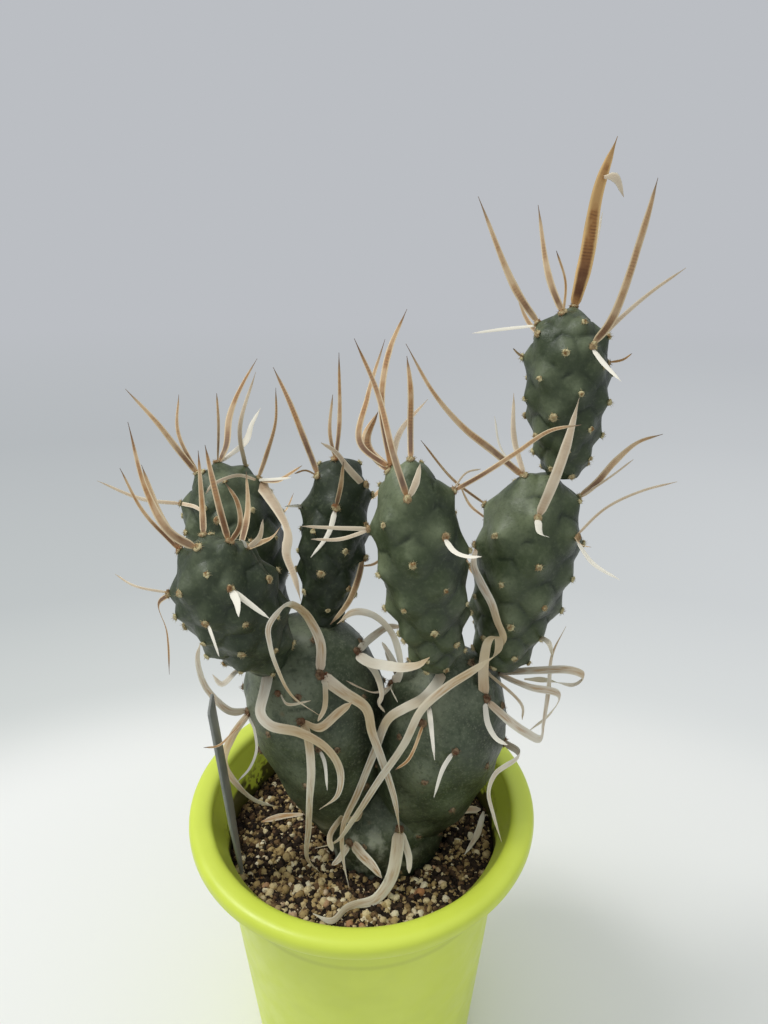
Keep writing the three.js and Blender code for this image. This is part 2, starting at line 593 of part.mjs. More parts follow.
// A spine that starts under the skin at its areole, which a bunch shares
function rootedSpine(on, bunch, wide, points, areole) {
  const joint = jointNamed(on)
  const site = joint.locate(areole)
  const root = joint.point(site.azimuth, site.height, joint.lump - ROOT_SINK)
  const facing = joint.normalAt(site.azimuth, site.height).multiplyScalar(FACE_OUT)
  facing.addScaledVector(TO_VIEWER, 1 - FACE_OUT).normalize()
  return { on, bunch, wide, site, facing, points: [root, ...points.slice(1)] }
}

// Adds the spines on the back of a joint that keep clear of the pot, soil, joints and other spines
function addBackSpines(joint) {
  const draw = drawsFrom(BACK.seed + joint.areoles)
  const behind = joint.spiral([]).filter(({ azimuth, height }) => (
    joint.normalAt(azimuth, height).y > BACK.facing && height > BACK.low && height < BACK.high
  ))
  behind.filter((site, k) => k % BACK.every === 0).forEach((site) => {
    const old = OLD_JOINTS.includes(joint.name)
    const points = (old ? curledPath : straightPath)(joint, site, draw)
    if (!keepsClear(joint, points)) return
    const wide = old ? BACK.curledWidths : BACK.straightWidths
    const facing = joint.normalAt(site.azimuth, site.height)
    spines.push({ on: joint.name, bunch: 'skin', wide, site, points, facing })
  })
}

// Out from the skin and a little up along the joint
function straightPath(joint, site, draw) {
  const out = joint.normalAt(site.azimuth, site.height)
  const length = ramp(BACK.straightLengths, draw())
  const root = joint.point(site.azimuth, site.height, joint.lump - ROOT_SINK)
  const bend = root.clone().addScaledVector(out, length * 0.5).addScaledVector(joint.axis, length * 0.1)
  const tip = root.clone().addScaledVector(out, length * 0.85).addScaledVector(joint.axis, length * 0.4)
  return [root, bend, tip]
}

// Out from the skin, over sideways and down
function curledPath(joint, site, draw) {
  const out = joint.normalAt(site.azimuth, site.height)
  const side = new THREE.Vector3().crossVectors(out, UPWARD).normalize()
  const length = ramp(BACK.curledLengths, draw())
  const turn = draw() < 0.5 ? -1 : 1
  const root = joint.point(site.azimuth, site.height, joint.lump - ROOT_SINK)
  return BACK.curl.map(([away, aside, up]) => {
    const point = root.clone().addScaledVector(out, away * length)
    return point.addScaledVector(side, aside * turn * length).addScaledVector(UPWARD, up * length)
  })
}

function keepsClear(joint, points) {
  const loose = points.slice(1)
  const others = joints.filter((other) => other !== joint)
  const fromJoints = loose.every((point) => others.every((other) => other.clearance(point) > BACK.clear))
  const fromSpines = loose.every((point) => spines.every((spine) => (
    spine.points.every((place) => place.distanceTo(point) > BACK.clear * 1.5)
  )))
  const fromSoil = loose.every((point) => point.z > SOIL.level + BACK.clear)
  const fromRim = loose.every(({ x, y, z }) => (
    z > POT.height + BACK.clear || Math.hypot(x, y) < POT.rimInner - BACK.clear
  ))
  return fromJoints && fromSpines && fromSoil && fromRim
}

function bladeOf(spine) {
  return toSolid(bladeGeometry(spine.points, spine.wide, spine.facing))
}

// The small cushion at a spine's root
function pad({ on, site }) {
  const shape = new THREE.OctahedronGeometry(PAD_RADIUS, 0)
  const joint = jointNamed(on)
  const middle = joint.point(site.azimuth, site.height, joint.lump - PAD_SINK)
  return toSolid(shape.translate(middle.x, middle.y, middle.z))
}

// Stem joints in order, each cut to sit against those that it grows on
function buildJoints() {
  const earlier = []
  return joints.map((joint) => {
    const own = spines.filter((spine) => spine.on === joint.name)
    const areoles = []
    own.forEach(({ site }) => {
      const spot = joint.point(site.azimuth, site.height, 0)
      const taken = areoles.some(({ azimuth, height }) => (
        joint.point(azimuth, height, 0).distanceTo(spot) < AREOLE_MERGE
      ))
      if (!taken) areoles.push({ ...site, areole: true })
    })
    const spots = areoles.map(({ azimuth, height }) => joint.point(azimuth, height, 0))
    areoles.push(...joint.spiral(spots))
    let body = toSolid(jointGeometry(joint, areoles, 0))
    own.filter(({ bunch }) => bunch === 'skin').forEach((spine) => {
      body = body.add(bladeOf(spine))
    })
    earlier.forEach((other) => {
      body = body.subtract(other)
    })
    joint.grown = toSolid(jointGeometry(joint, areoles, GAP))
    earlier.push(joint.grown)
    return toMesh(`joint_${joint.name}`, largestOf(body), SKIN)
  })
}

// Bunches of spines, each with its cushion, held just off the skin that it grows from
function buildBunches() {
  const loose = spines.filter(({ bunch }) => bunch !== 'skin')
  const nameOf = ({ on, bunch }) => `${on}_${bunch}`
  return [...new Set(loose.map(nameOf))].map((name) => {
    const members = loose.filter((spine) => nameOf(spine) === name)
    let body = wasm.Manifold.union([pad(members[0]), ...members.map(bladeOf)])
    joints.forEach((joint) => {
      body = body.subtract(joint.grown)
    })
    return toMesh(`spines_${name}`, largestOf(body), PAPER)
  })
}

// Soil: a filling with a gently uneven top, stone grains half sunk into it and fallen spines on it
function soilHeight(x, y) {
  return SOIL.level + 0.5 * Math.sin(x / 9 + 1) * Math.cos(y / 11) + 0.3 * Math.sin(y / 5 + x / 7)
}

function buildSoil(labelSlot) {
  const floor = POT.floor + GAP
  const wallAt = (z) => wallRadius(z) - POT.wall - GAP
  const corner = POT.floor + POT.footRound + GAP
  const outline = [[0, floor], [POT.footRadius - POT.wall, floor], [wallAt(corner), corner]]
  outline.push([wallAt(SOIL.level), SOIL.level])
  SOIL.rings.forEach((share) => outline.push([wallAt(SOIL.level) * share, SOIL.level]))
  outline.push([0, SOIL.level])
  const shape = turned(outline, SOIL.sides)
  const place = shape.attributes.position
  for (let k = 0; k < place.count; k += 1) {
    if (place.getZ(k) > SOIL.level - 1) place.setZ(k, soilHeight(place.getX(k), place.getY(k)))
  }
  const base = jointNamed('base')
  const wide = base.radius + SOIL.holeRoom
  const hole = new THREE.CylinderGeometry(wide, wide, SOIL.level, SOIL.holeSides)
  const seat = base.foot.z - STEM_SEAT
  hole.rotateX(Math.PI / 2).translate(base.foot.x, base.foot.y, seat + SOIL.level / 2)
  const grains = grainSpots(base).map(([x, y, size]) => {
    const grain = new THREE.IcosahedronGeometry(size, 0)
    return toSolid(grain.rotateX(x).rotateZ(y).translate(x, y, soilHeight(x, y) + size * SOIL.grainRise))
  })
  const fallen = FALLEN.map((scrap) => {
    const rise = BLADE * SOIL.fallenRise
    const points = scrap.path.map(([x, y]) => new THREE.Vector3(x, y, soilHeight(x, y) + rise))
    return toSolid(bladeGeometry(points, scrap.wide, UPWARD))
  })
  const filling = wasm.Manifold.union([toSolid(shape), ...grains, ...fallen])
  return toMesh('soil', largestOf(filling.subtract(toSolid(hole)).subtract(labelSlot)), EARTH)
}

// Seeded places for grains, clear of the stem, the wall, the label and the spines that touch down
function grainSpots(base) {
  const draw = drawsFrom(SOIL.seed)
  const low = spines.flatMap(({ points }) => points.filter((point) => point.z < SOIL.level + SOIL.offSpines))
  const spots = []
  while (spots.length < SOIL.grains) {
    const angle = draw() * 2 * Math.PI
    const reach = Math.sqrt(draw()) * SOIL.reach
    const size = THREE.MathUtils.lerp(SOIL.grainSmall, SOIL.grainLarge, draw() ** 2)
    const spot = new THREE.Vector3(Math.cos(angle) * reach, Math.sin(angle) * reach, SOIL.level)
    const fromStem = Math.hypot(spot.x - base.foot.x, spot.y - base.foot.y)
    const clearOfStem = fromStem > base.radius + SOIL.offStem
    const clearOfLabel = spot.distanceTo(LABEL.atSoil) > LABEL.width / 2 + SOIL.offLabel
    const clearOfSpines = low.every((point) => (
      Math.hypot(point.x - spot.x, point.y - spot.y) > SOIL.offSpines
    ))
    if (clearOfStem && clearOfLabel && clearOfSpines) spots.push([spot.x, spot.y, size])
  }
  return spots
}

// Outline points of radius and height, turned about the upright axis
function turned(outline, sides) {
  const profile = outline.map(([radius, height]) => new THREE.Vector2(radius, height))
  return new THREE.LatheGeometry(profile, sides).rotateX(Math.PI / 2)
}

// Outer radius of the pot's wall at a height
function wallRadius(z) {
  const share = (z - POT.footRound) / (POT.height - POT.rimHeight - POT.footRound)
  return THREE.MathUtils.lerp(POT.lowRadius, POT.highRadius, share)
}

// Pot: tapered wall, rounded bottom corner, thick rolled rim and drain holes in the floor
function buildPot() {
  const rimMiddle = POT.height - POT.rimHeight / 2
  const rimHalf = (POT.rimRadius - POT.rimInner) / 2
  const rimCentre = POT.rimRadius - rimHalf
  const ledge = POT.height - POT.rimHeight
  const outline = [[0, 0], [POT.footRadius, 0]]
  outline.push([POT.footRadius + POT.cornerMiddle[0], POT.cornerMiddle[1]])
  outline.push([wallRadius(POT.footRound) - POT.cornerEnd, POT.footRound])
  outline.push([wallRadius(POT.wallStart), POT.wallStart])
  outline.push([wallRadius(ledge - POT.rimNeck), ledge - POT.rimNeck])
  outline.push([rimCentre - POT.rimLip[0], ledge - POT.rimLip[1]])
  for (let k = -3; k <= 8; k += 1) {
    const angle = (k * Math.PI) / 8
    const out = rimHalf * bulge(Math.cos(angle))
    outline.push([rimCentre + out, rimMiddle + (POT.rimHeight / 2) * bulge(Math.sin(angle))])
  }
  const corner = POT.floor + POT.footRound
  outline.push([wallRadius(ledge) - POT.wall, ledge - POT.rimInside])
  outline.push([wallRadius(corner) - POT.wall, corner])
  outline.push([POT.footRadius - POT.wall + POT.floorCorner, POT.floor], [0, POT.floor])
  let body = toSolid(turned(outline, POT.sides))
  for (let k = 0; k < POT.drains; k += 1) {
    const angle = (k * 2 * Math.PI) / POT.drains
    const [wide, deep] = [POT.drainRadius, POT.floor * 3]
    const drain = new THREE.CylinderGeometry(wide, wide, deep, POT.drainSides)
    drain.rotateX(Math.PI / 2).translate(POT.drainRing, 0, POT.floor / 2).rotateZ(angle)
    body = body.subtract(toSolid(drain))
  }
  return toMesh('pot', body, PLASTIC)
}

// Squares a round section a little, as the rolled rim is
function bulge(value) {
  return Math.sign(value) * Math.abs(value) ** POT.rimSquare
}

// Label: a strip with a pointed foot, made lying flat and then stood up along its lean
function labelShape(extra) {
  const half = LABEL.width / 2 + extra
  const lean = LABEL.top.clone().sub(LABEL.atSoil)
  const reach = lean.length()
  lean.normalize()
  const outline = new THREE.Shape()
  outline.moveTo(0, -LABEL.buried - extra * 2)
  outline.lineTo(half, -LABEL.buried + LABEL.point)
  outline.lineTo(half, reach)
  outline.lineTo(-half, reach)
  outline.lineTo(-half, -LABEL.buried + LABEL.point)
  const depth = LABEL.thickness + extra * 2
  const shape = new THREE.ExtrudeGeometry(outline, { depth, bevelEnabled: false })
  shape.translate(0, 0, -depth / 2)
  const across = new THREE.Vector3(-Math.sin(LABEL.turn), Math.cos(LABEL.turn), 0)
  across.addScaledVector(lean, -across.dot(lean)).normalize()
  const face = new THREE.Vector3().crossVectors(across, lean)
  const stand = new THREE.Matrix4().makeBasis(across, lean, face).setPosition(LABEL.atSoil)
  return toSolid(shape.applyMatrix4(stand))
}

const pieces = [
  buildPot(),
  buildSoil(labelShape(GAP)),
  toMesh('plant_label', labelShape(0), GREY),
  ...buildJoints(),
  ...buildBunches(),
]

const plant = new THREE.Group()
plant.add(...pieces)
export default plant
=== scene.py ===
"""Potted paper spine cactus, dressed for a still picture.

Sizes in this file are in millimetres, unless a name or a comment says otherwise, and become metres
where a mesh is made. The origin is the middle of the pot's flat underside, and the front faces -Y.
"""
import logging
import math
from dataclasses import dataclass, field
from enum import Enum
from typing import Iterable, Sequence

import bmesh
import bpy
from mathutils import Matrix, Vector


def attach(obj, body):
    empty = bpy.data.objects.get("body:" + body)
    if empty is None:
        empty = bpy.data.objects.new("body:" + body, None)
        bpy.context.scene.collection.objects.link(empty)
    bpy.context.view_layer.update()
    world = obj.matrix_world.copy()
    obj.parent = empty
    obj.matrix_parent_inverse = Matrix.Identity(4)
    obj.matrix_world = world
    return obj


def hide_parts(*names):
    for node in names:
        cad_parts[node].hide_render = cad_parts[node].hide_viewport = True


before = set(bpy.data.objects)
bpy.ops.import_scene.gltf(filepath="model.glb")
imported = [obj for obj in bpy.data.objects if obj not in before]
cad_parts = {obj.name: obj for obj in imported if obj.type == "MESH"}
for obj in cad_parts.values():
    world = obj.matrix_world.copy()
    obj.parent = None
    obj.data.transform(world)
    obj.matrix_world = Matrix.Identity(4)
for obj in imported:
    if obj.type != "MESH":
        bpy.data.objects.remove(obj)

LOG = logging.getLogger("potted_cactus")
MM = 0.001
Socket = bpy.types.NodeSocket
Colour = tuple[float, float, float]
Site = tuple[float, float]


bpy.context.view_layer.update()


class Paper(Enum):
    """Kinds of papery spine: how brown its middle is, its cross bands, its dark tip and its wear."""

    WHITE = (0.0, 0.0, 0.1, 0.0)
    CREAM = (0.38, 0.15, 0.25, 0.1)
    THREAD = (0.8, 0.0, 1.0, 0.0)
    TAN = (0.7, 0.4, 0.8, 0.05)
    BROWN = (1.0, 0.55, 0.9, 0.1)
    BANDED = (1.0, 1.0, 0.5, 0.0)
    OLD = (0.4, 0.1, 0.0, 0.75)
    WORN = (0.8, 0.25, 0.3, 0.8)
    DULL = (0.9, 0.1, 0.0, 0.4)


WHITE, CREAM, THREAD, TAN, BROWN, BANDED, OLD, WORN, DULL = Paper


@dataclass(frozen=True)
class Blade:
    """One papery spine: its kind, its widths at even stages, and the points that it runs through."""

    paper: Paper
    widths: tuple[float, ...]
    path: tuple[tuple[float, ...], ...]


# Spines that show, by joint and bunch. Those under skin stand alone on their joint.
SPINES = {
    "top": {
        "crown": (
            Blade(BANDED, (2.6, 4.2, 4, 3, 0.6), ((62, 16, 280), (64, 17, 294), (66, 19, 312),
                (70, 21, 325))),
            Blade(WHITE, (1.4, 1.4, 0.8), ((63, 15, 280), (66, 20, 293), (69, 24, 306))),
        ),
        "crown_left": (
            Blade(TAN, (1.9, 1.9, 0.6), ((57, 8, 280), (53, 12, 290), (50, 20, 308))),
            Blade(THREAD, (0.8, 0.7, 0.6), ((59, 8, 281), (57, 9, 289), (54, 10, 297))),
        ),
        "left": (
            Blade(TAN, (1.7, 2.3, 0.6), ((52, 15, 276), (45, 18, 286), (34, 25, 310))),
            Blade(WHITE, (0.9, 1.1, 0.6), ((51, 15, 275), (42, 16, 275), (33, 15, 274))),
        ),
        "right": (
            Blade(TAN, (1.9, 2.4, 2, 0.6), ((64, 1, 273), (68, -1, 281), (75, 4, 304),
                (78, 8, 315))),
            Blade(CREAM, (1.4, 1.1, 0.6), ((65, 1, 273), (71, -1, 282), (77, -2, 288),
                (85, -2, 294))),
            Blade(WHITE, (1.4, 1.6, 0.6), ((64, 1, 272), (66, -5, 270), (69, -12, 267))),
        ),
    },
    "right_upper": {
        "top_left": (
            Blade(TAN, (2.1, 2.4, 1.6, 0.6), ((48, 5, 233), (40, 7, 241), (31, 8, 248),
                (22, 10, 258), (14, 15, 271))),
            Blade(CREAM, (1.5, 1.8, 0.6), ((48, 9, 232), (47, 14, 243), (47, 20, 255))),
            Blade(WHITE, (0.9, 0.7, 0.6), ((46, 9, 232), (43, 12, 240), (41, 16, 249))),
        ),
        "front": (
            Blade(CREAM, (2.6, 3.1, 2.8, 0.6), ((52, -6, 225), (55, -7, 236), (58, -6, 247),
                (61, -3, 260))),
            Blade(WHITE, (2.3, 2, 0.6), ((52, -7, 225), (51, -15, 225), (52, -22, 227))),
        ),
        "top_right": (
            Blade(TAN, (1.8, 2.4, 2.4, 1.2, 0.6), ((66, 8, 225), (72, 9, 230), (78, 12, 236),
                (85, 15, 241), (93, 17, 243))),
            Blade(CREAM, (0.9, 0.7, 0.6), ((66, 6, 225), (76, 9, 232), (83, 11, 237))),
        ),
        "right": (
            Blade(CREAM, (0.9, 0.9, 0.6), ((64, -4, 218), (72, -3, 227), (82, -2, 232),
                (92, -2, 235))),
            Blade(WHITE, (1.2, 1.4, 0.6), ((64, -5, 217), (68, -10, 213), (75, -15, 210))),
        ),
        "left": (
            Blade(TAN, (0.9, 0.9, 0.6), ((39, 13, 221), (29, 15, 229), (19, 17, 241))),
        ),
        "down": (
            Blade(WORN, (1.4, 2.1, 2.6, 2.5, 2.4, 2.4, 1.8), ((38, 5, 211), (35, 0, 207),
                (37, -5, 203), (40, -8, 198), (42, -9, 192), (44, -9, 187), (44, -8, 182))),
        ),
    },
    "center_front": {
        "top_right": (
            Blade(TAN, (1.4, 1.4, 1.2, 0.6), ((27, -10, 235), (35, -9, 240), (44, -8, 246),
                (53, -7, 252), (61, -8, 254))),
            Blade(CREAM, (0.7, 0.6, 0.6), ((27, -10, 236), (31, -3, 238), (36, 3, 237))),
        ),
        "front": (
            Blade(BROWN, (1.9, 1.8, 1.5, 0.6), ((14, -21, 237), (10, -19, 250), (6, -12, 264),
                (0, -7, 277))),
            Blade(CREAM, (1.6, 2.1, 0.8), ((14, -21, 237), (16, -22, 243), (17, -22, 248))),
        ),
        "low_right": (
            Blade(WHITE, (1.6, 1.6, 1.3, 0.6), ((24, -22, 227), (26, -28, 226), (29, -33, 227),
                (32, -37, 229))),
        ),
        "low_left": (
            Blade(CREAM, (1.4, 1.1, 0.6), ((4, -13, 225), (-6, -14, 226), (-15, -15, 227))),
            Blade(CREAM, (1.1, 1.1, 0.6), ((4, -10, 223), (-5, -11, 221), (-13, -11, 221))),
        ),
        "top": (
            Blade(BROWN, (1.6, 1.9, 1.7, 0.6), ((17, -9, 244), (15, -4, 252), (15, 0, 262),
                (14, 4, 270))),
        ),
        "back": (
            Blade(BROWN, (1.7, 1.9, 1.9, 0.6), ((10, -9, 241), (7, -2, 258), (9, 4, 271),
                (14, 8, 282))),
            Blade(CREAM, (1.7, 1.7, 0.6), ((10, -9, 241), (12, -3, 250), (20, 3, 258))),
            Blade(BROWN, (1.7, 1.9, 1.7, 0.6), ((8, -10, 239), (1, -5, 248), (3, 1, 259),
                (8, 7, 274))),
            Blade(TAN, (1.4, 1.4, 0.6), ((8, -9, 239), (2, 1, 247), (6, 11, 252))),
        ),
    },
    "center_back": {
        "top_left": (
            Blade(BROWN, (1.9, 2.1, 1.8, 0.6), ((-13, 14, 230), (-17, 17, 242), (-21, 20, 252),
                (-26, 24, 262))),
            Blade(BROWN, (0.7, 0.6, 0.6), ((-14, 15, 230), (-16, 12, 233), (-19, 7, 234))),
        ),
        "top": (
            Blade(BROWN, (1.2, 1.5, 0.6), ((-7, 17, 234), (-6, 19, 246), (-6, 26, 266))),
            Blade(TAN, (1.2, 1.2, 0.6), ((-9, 17, 234), (-9, 19, 243), (-8, 22, 254))),
        ),
        "front": (
            Blade(TAN, (1.5, 1.5, 0.6), ((-7, 6, 223), (-5, 3, 232), (-4, 1, 240))),
            Blade(WHITE, (1.8, 1.5, 0.6), ((-8, 6, 222), (-9, 1, 217), (-14, -5, 212))),
        ),
        "top_right": (
            Blade(CREAM, (2.5, 2.4, 1.5, 0.9), ((2, 14, 227), (-3, 11, 234), (-7, 10, 240),
                (-11, 9, 243))),
        ),
        "low_right": (
            Blade(TAN, (2.2, 2.2, 1.9, 1.2), ((2, 10, 204), (-1, 3, 198), (-4, -1, 193),
                (-9, -4, 188))),
        ),
    },
    "left_back": {
        "top_left": (
            Blade(TAN, (2, 2, 1.6, 0.6), ((-52, 28, 225), (-60, 30, 234), (-66, 32, 242),
                (-76, 36, 252))),
            Blade(TAN, (1.3, 1.3, 0.6), ((-53, 29, 225), (-60, 34, 238), (-60, 40, 249))),
        ),
        "top": (
            Blade(BROWN, (2.3, 2.6, 2.3, 1.3, 0.6), ((-44, 29, 230), (-44, 31, 234),
                (-43, 36, 243), (-39, 40, 252), (-34, 44, 260))),
            Blade(WHITE, (1.3, 2.6, 1.6, 0.6), ((-41, 31, 229), (-38, 34, 235), (-36, 36, 240),
                (-33, 38, 245))),
        ),
        "right": (
            Blade(TAN, (1.6, 2.2, 1.3, 0.6), ((-33, 26, 224), (-26, 22, 226), (-22, 20, 229),
                (-18, 19, 232))),
            Blade(TAN, (1.3, 1.6, 1, 0.6), ((-33, 28, 224), (-31, 31, 231), (-28, 36, 241),
                (-28, 41, 251))),
            Blade(CREAM, (4.2, 3.7, 2.2, 3.1, 2.3, 1.8, 0.6), ((-31, 24, 222), (-26, 16, 218),
                (-22, 7, 214), (-22, 1, 210), (-19, -5, 205), (-17, -10, 200))),
        ),
        "left": (
            Blade(CREAM, (1.3, 1.3, 0.6), ((-58, 25, 216), (-72, 25, 218), (-86, 26, 224))),
            Blade(CREAM, (1.3, 1.2, 0.6), ((-57, 22, 218), (-50, 9, 222), (-46, 2, 223))),
        ),
        "skin": (
            Blade(CREAM, (1.2, 1.2, 0.6), ((-44, 10, 217), (-41, 5, 217), (-39, 2, 217))),
        ),
    },
    "left_front": {
        "top_left": (
            Blade(BROWN, (2.4, 2.3, 2.1, 1.3, 0.6), ((-44, -29, 224), (-48, -27, 231),
                (-54, -23, 241), (-59, -15, 257))),
        ),
        "left": (
            Blade(BROWN, (1.9, 2.4, 2.2, 0.6), ((-47, -20, 221), (-54, -16, 232),
                (-58, -12, 244))),
            Blade(BROWN, (1.4, 1.1, 0.6), ((-48, -20, 221), (-58, -16, 232), (-64, -12, 243))),
        ),
        "top": (
            Blade(BROWN, (1.9, 1.9, 1.4, 0.6), ((-41, -19, 226), (-42, -15, 233), (-43, -9, 247))),
        ),
        "top_right": (
            Blade(BROWN, (1.9, 1.9, 1.6, 0.6), ((-34, -23, 225), (-36, -20, 234),
                (-38, -17, 242), (-40, -13, 250))),
            Blade(BROWN, (1.6, 1.6, 1.3, 0.6), ((-33, -23, 225), (-30, -25, 232),
                (-30, -26, 239), (-32, -28, 245))),
        ),
        "right": (
            Blade(TAN, (1.1, 1.6, 1, 0.6), ((-29, -21, 223), (-25, -25, 227), (-21, -30, 231),
                (-18, -34, 236))),
        ),
        "front": (
            Blade(WHITE, (2.3, 2, 0.6), ((-32, -33, 217), (-30, -37, 216), (-29, -41, 214))),
            Blade(WHITE, (1.6, 1.6, 1.3, 0.6), ((-31, -32, 217), (-27, -35, 214),
                (-22, -37, 211))),
        ),
        "skin": (
            Blade(WHITE, (1.3, 1, 0.6), ((-39, -34, 208), (-37, -38, 206), (-35, -41, 202))),
        ),
        "far_left": (
            Blade(BROWN, (1.4, 1.4, 1.2, 0.6), ((-50, -24, 211), (-56, -20, 205),
                (-56, -16, 193), (-57, -16, 178))),
            Blade(CREAM, (0.8, 0.7, 0.6), ((-50, -25, 213), (-61, -22, 212), (-68, -17, 213))),
        ),
    },
    "left": {
        "front": (
            Blade(OLD, (3.1, 3.1, 2.8, 2.3, 1.9, 1.6, 1.3, 1.1, 0.7, 0.6), ((-12, -11, 174),
                (-12, -6, 182), (-15, -5, 190), (-18, -13, 200), (-20, -27, 208), (-23, -33, 206),
                (-23, -33, 200), (-22, -29, 189), (-19, -24, 176), (-12, -20, 166))),
            Blade(OLD, (4.3, 3.7, 3.1, 2.8, 2.6, 1.9, 0.6), ((-11, -11, 173), (-5, -14, 170),
                (2, -14, 164), (4, -14, 154), (7, -16, 145), (11, -19, 132), (13, -22, 119))),
        ),
        "mid": (
            Blade(OLD, (2.8, 2.8, 2.8, 2.2, 2, 1.3, 0.6), ((-18, -17, 161), (-16, -19, 157),
                (-15, -22, 147), (-16, -22, 134), (-17, -21, 120), (-18, -20, 106), (-14, -18, 97))),
            Blade(OLD, (1.5, 2.7, 2.7, 1.8), ((-17, -17, 161), (-12, -21, 162), (-6, -20, 167),
                (-2, -19, 170))),
        ),
        "upper": (
            Blade(OLD, (3.8, 4, 3.7, 3.3, 3, 2.5, 2.5, 1.6, 0.6), ((-29, -7, 174),
                (-29, -13, 171), (-30, -19, 166), (-27, -21, 163), (-18, -22, 161), (-10, -22, 155),
                (-6, -22, 146), (-7, -23, 137), (-13, -22, 130))),
        ),
        "side": (
            Blade(OLD, (2.9, 2.9, 2.6, 1.9, 0.9), ((-37, -5, 155), (-42, -7, 157),
                (-49, -6, 165), (-50, -9, 178), (-48, -11, 186))),
            Blade(OLD, (2, 2.7, 3, 3, 2.4, 1), ((-37, -2, 150), (-43, -4, 144), (-46, -7, 136),
                (-42, -9, 128), (-36, -10, 122), (-29, -10, 119))),
            Blade(WHITE, (1, 1, 0.8, 0.6), ((-36, -5, 150), (-34, -10, 144), (-36, -13, 139),
                (-40, -15, 135))),
        ),
        "right_top": (
            Blade(OLD, (3.9, 3.8, 3.4, 3, 2.1, 1.2), ((-1, 0, 175), (3, -5, 175), (9, -10, 177),
                (14, -15, 180), (18, -18, 183), (21, -20, 187))),
            Blade(OLD, (2.6, 2.6, 2.2, 1), ((0, 3, 174), (4, 9, 175), (9, 7, 180), (14, 4, 182))),
            Blade(OLD, (1.9, 2.2, 1.6, 0.6), ((1, 1, 174), (5, -4, 170), (7, -9, 165),
                (6, -11, 162))),
        ),
        "skin": (
            Blade(WHITE, (1.3, 1.3, 0.6), ((-13, -18, 151), (-11, -20, 148), (-10, -24, 140))),
        ),
    },
    "right": {
        "mid_left": (
            Blade(OLD, (3.3, 3.2, 2.9, 2.5, 2.2, 0.9), ((10, 2, 161), (13, -2, 170),
                (10, -1, 183), (4, 0, 189), (-2, 0, 190), (-7, -2, 187))),
            Blade(CREAM, (1.3, 1.3, 0.9, 0.6), ((10, 2, 160), (5, -5, 163), (0, -9, 168),
                (-4, -11, 172))),
        ),
        "front": (
            Blade(OLD, (3.5, 3.4, 3.4, 3.1, 2.9, 2.6, 2.3, 1.7, 1.3, 0.7), ((26, -6, 172),
                (24, -10, 170), (20, -13, 167), (14, -13, 163), (9, -12, 158), (5, -12, 146),
                (-1, -15, 130), (-6, -17, 117), (-6, -20, 106), (-4, -24, 97))),
        ),
        "right_front": (
            Blade(OLD, (3.8, 3.5, 3.1, 2.4, 2.4, 2.6, 2.7, 2.4, 2.5, 2.2, 1.9, 1.3, 0.7), (
                (40, -10, 164), (39, -7, 174), (40, -6, 183), (42, -11, 188), (41, -18, 187),
                (35, -21, 184), (26, -20, 176), (19, -19, 167), (14, -19, 154), (6, -20, 140),
                (-2, -21, 125), (-8, -22, 116), (-15, -22, 113))),
            Blade(WHITE, (1.6, 1.9, 1.5, 1.2), ((39, -11, 162), (40, -17, 160), (42, -21, 158),
                (45, -24, 158))),
            Blade(OLD, (2.2, 2.8, 2.8, 2.6, 2, 1.7, 1, 0.6), ((41, -10, 162), (47, -14, 159),
                (53, -14, 154), (58, -12, 150), (60, -6, 151), (62, 0, 160), (63, 4, 171),
                (67, 6, 181))),
        ),
        "right_back": (
            Blade(OLD, (2.7, 2.6, 2.6, 2.6, 2.6, 2.7, 2.4), ((45, 6, 163), (58, 0, 168),
                (67, -4, 171), (72, -3, 168), (70, 0, 162), (62, 4, 161), (55, 6, 160))),
            Blade(OLD, (2.7, 2.6, 2.6, 2, 1.4), ((46, 5, 163), (55, -2, 163), (65, -2, 160),
                (64, 1, 150), (57, 2, 141))),
        ),
        "low_right": (
            Blade(OLD, (2.3, 2.6, 2.2, 1.6, 1.3, 0.6), ((47, -5, 143), (51, -15, 146),
                (43, -20, 143), (41, -21, 137), (43, -21, 127), (46, -23, 117))),
        ),
        "skin": (
            Blade(WHITE, (1.9, 1.8, 0.6), ((21, -13, 164), (22, -18, 162), (23, -26, 154))),
            Blade(WHITE, (1.6, 1.5, 0.6), ((30, -20, 151), (26, -23, 148), (23, -28, 141))),
        ),
    },
    "base": {
        "left": (
            Blade(WORN, (4.1, 4, 3.3, 1.6), ((-4, -14, 107), (0, -19, 107), (4, -23, 106),
                (7, -26, 104))),
            Blade(OLD, (2.7, 2, 1), ((-6, -14, 103), (-8, -17, 102), (-10, -19, 102))),
        ),
        "front": (
            Blade(OLD, (4.4, 4.3, 4, 3.3, 2.3, 1.9, 1.3), ((13, -14, 113), (12, -20, 109),
                (10, -25, 103), (5, -29, 98), (-4, -32, 98), (-9, -37, 98), (-15, -36, 100))),
            Blade(OLD, (2.7, 2.3, 1.3), ((15, -15, 111), (16, -20, 107), (16, -24, 104))),
        ),
    },
}

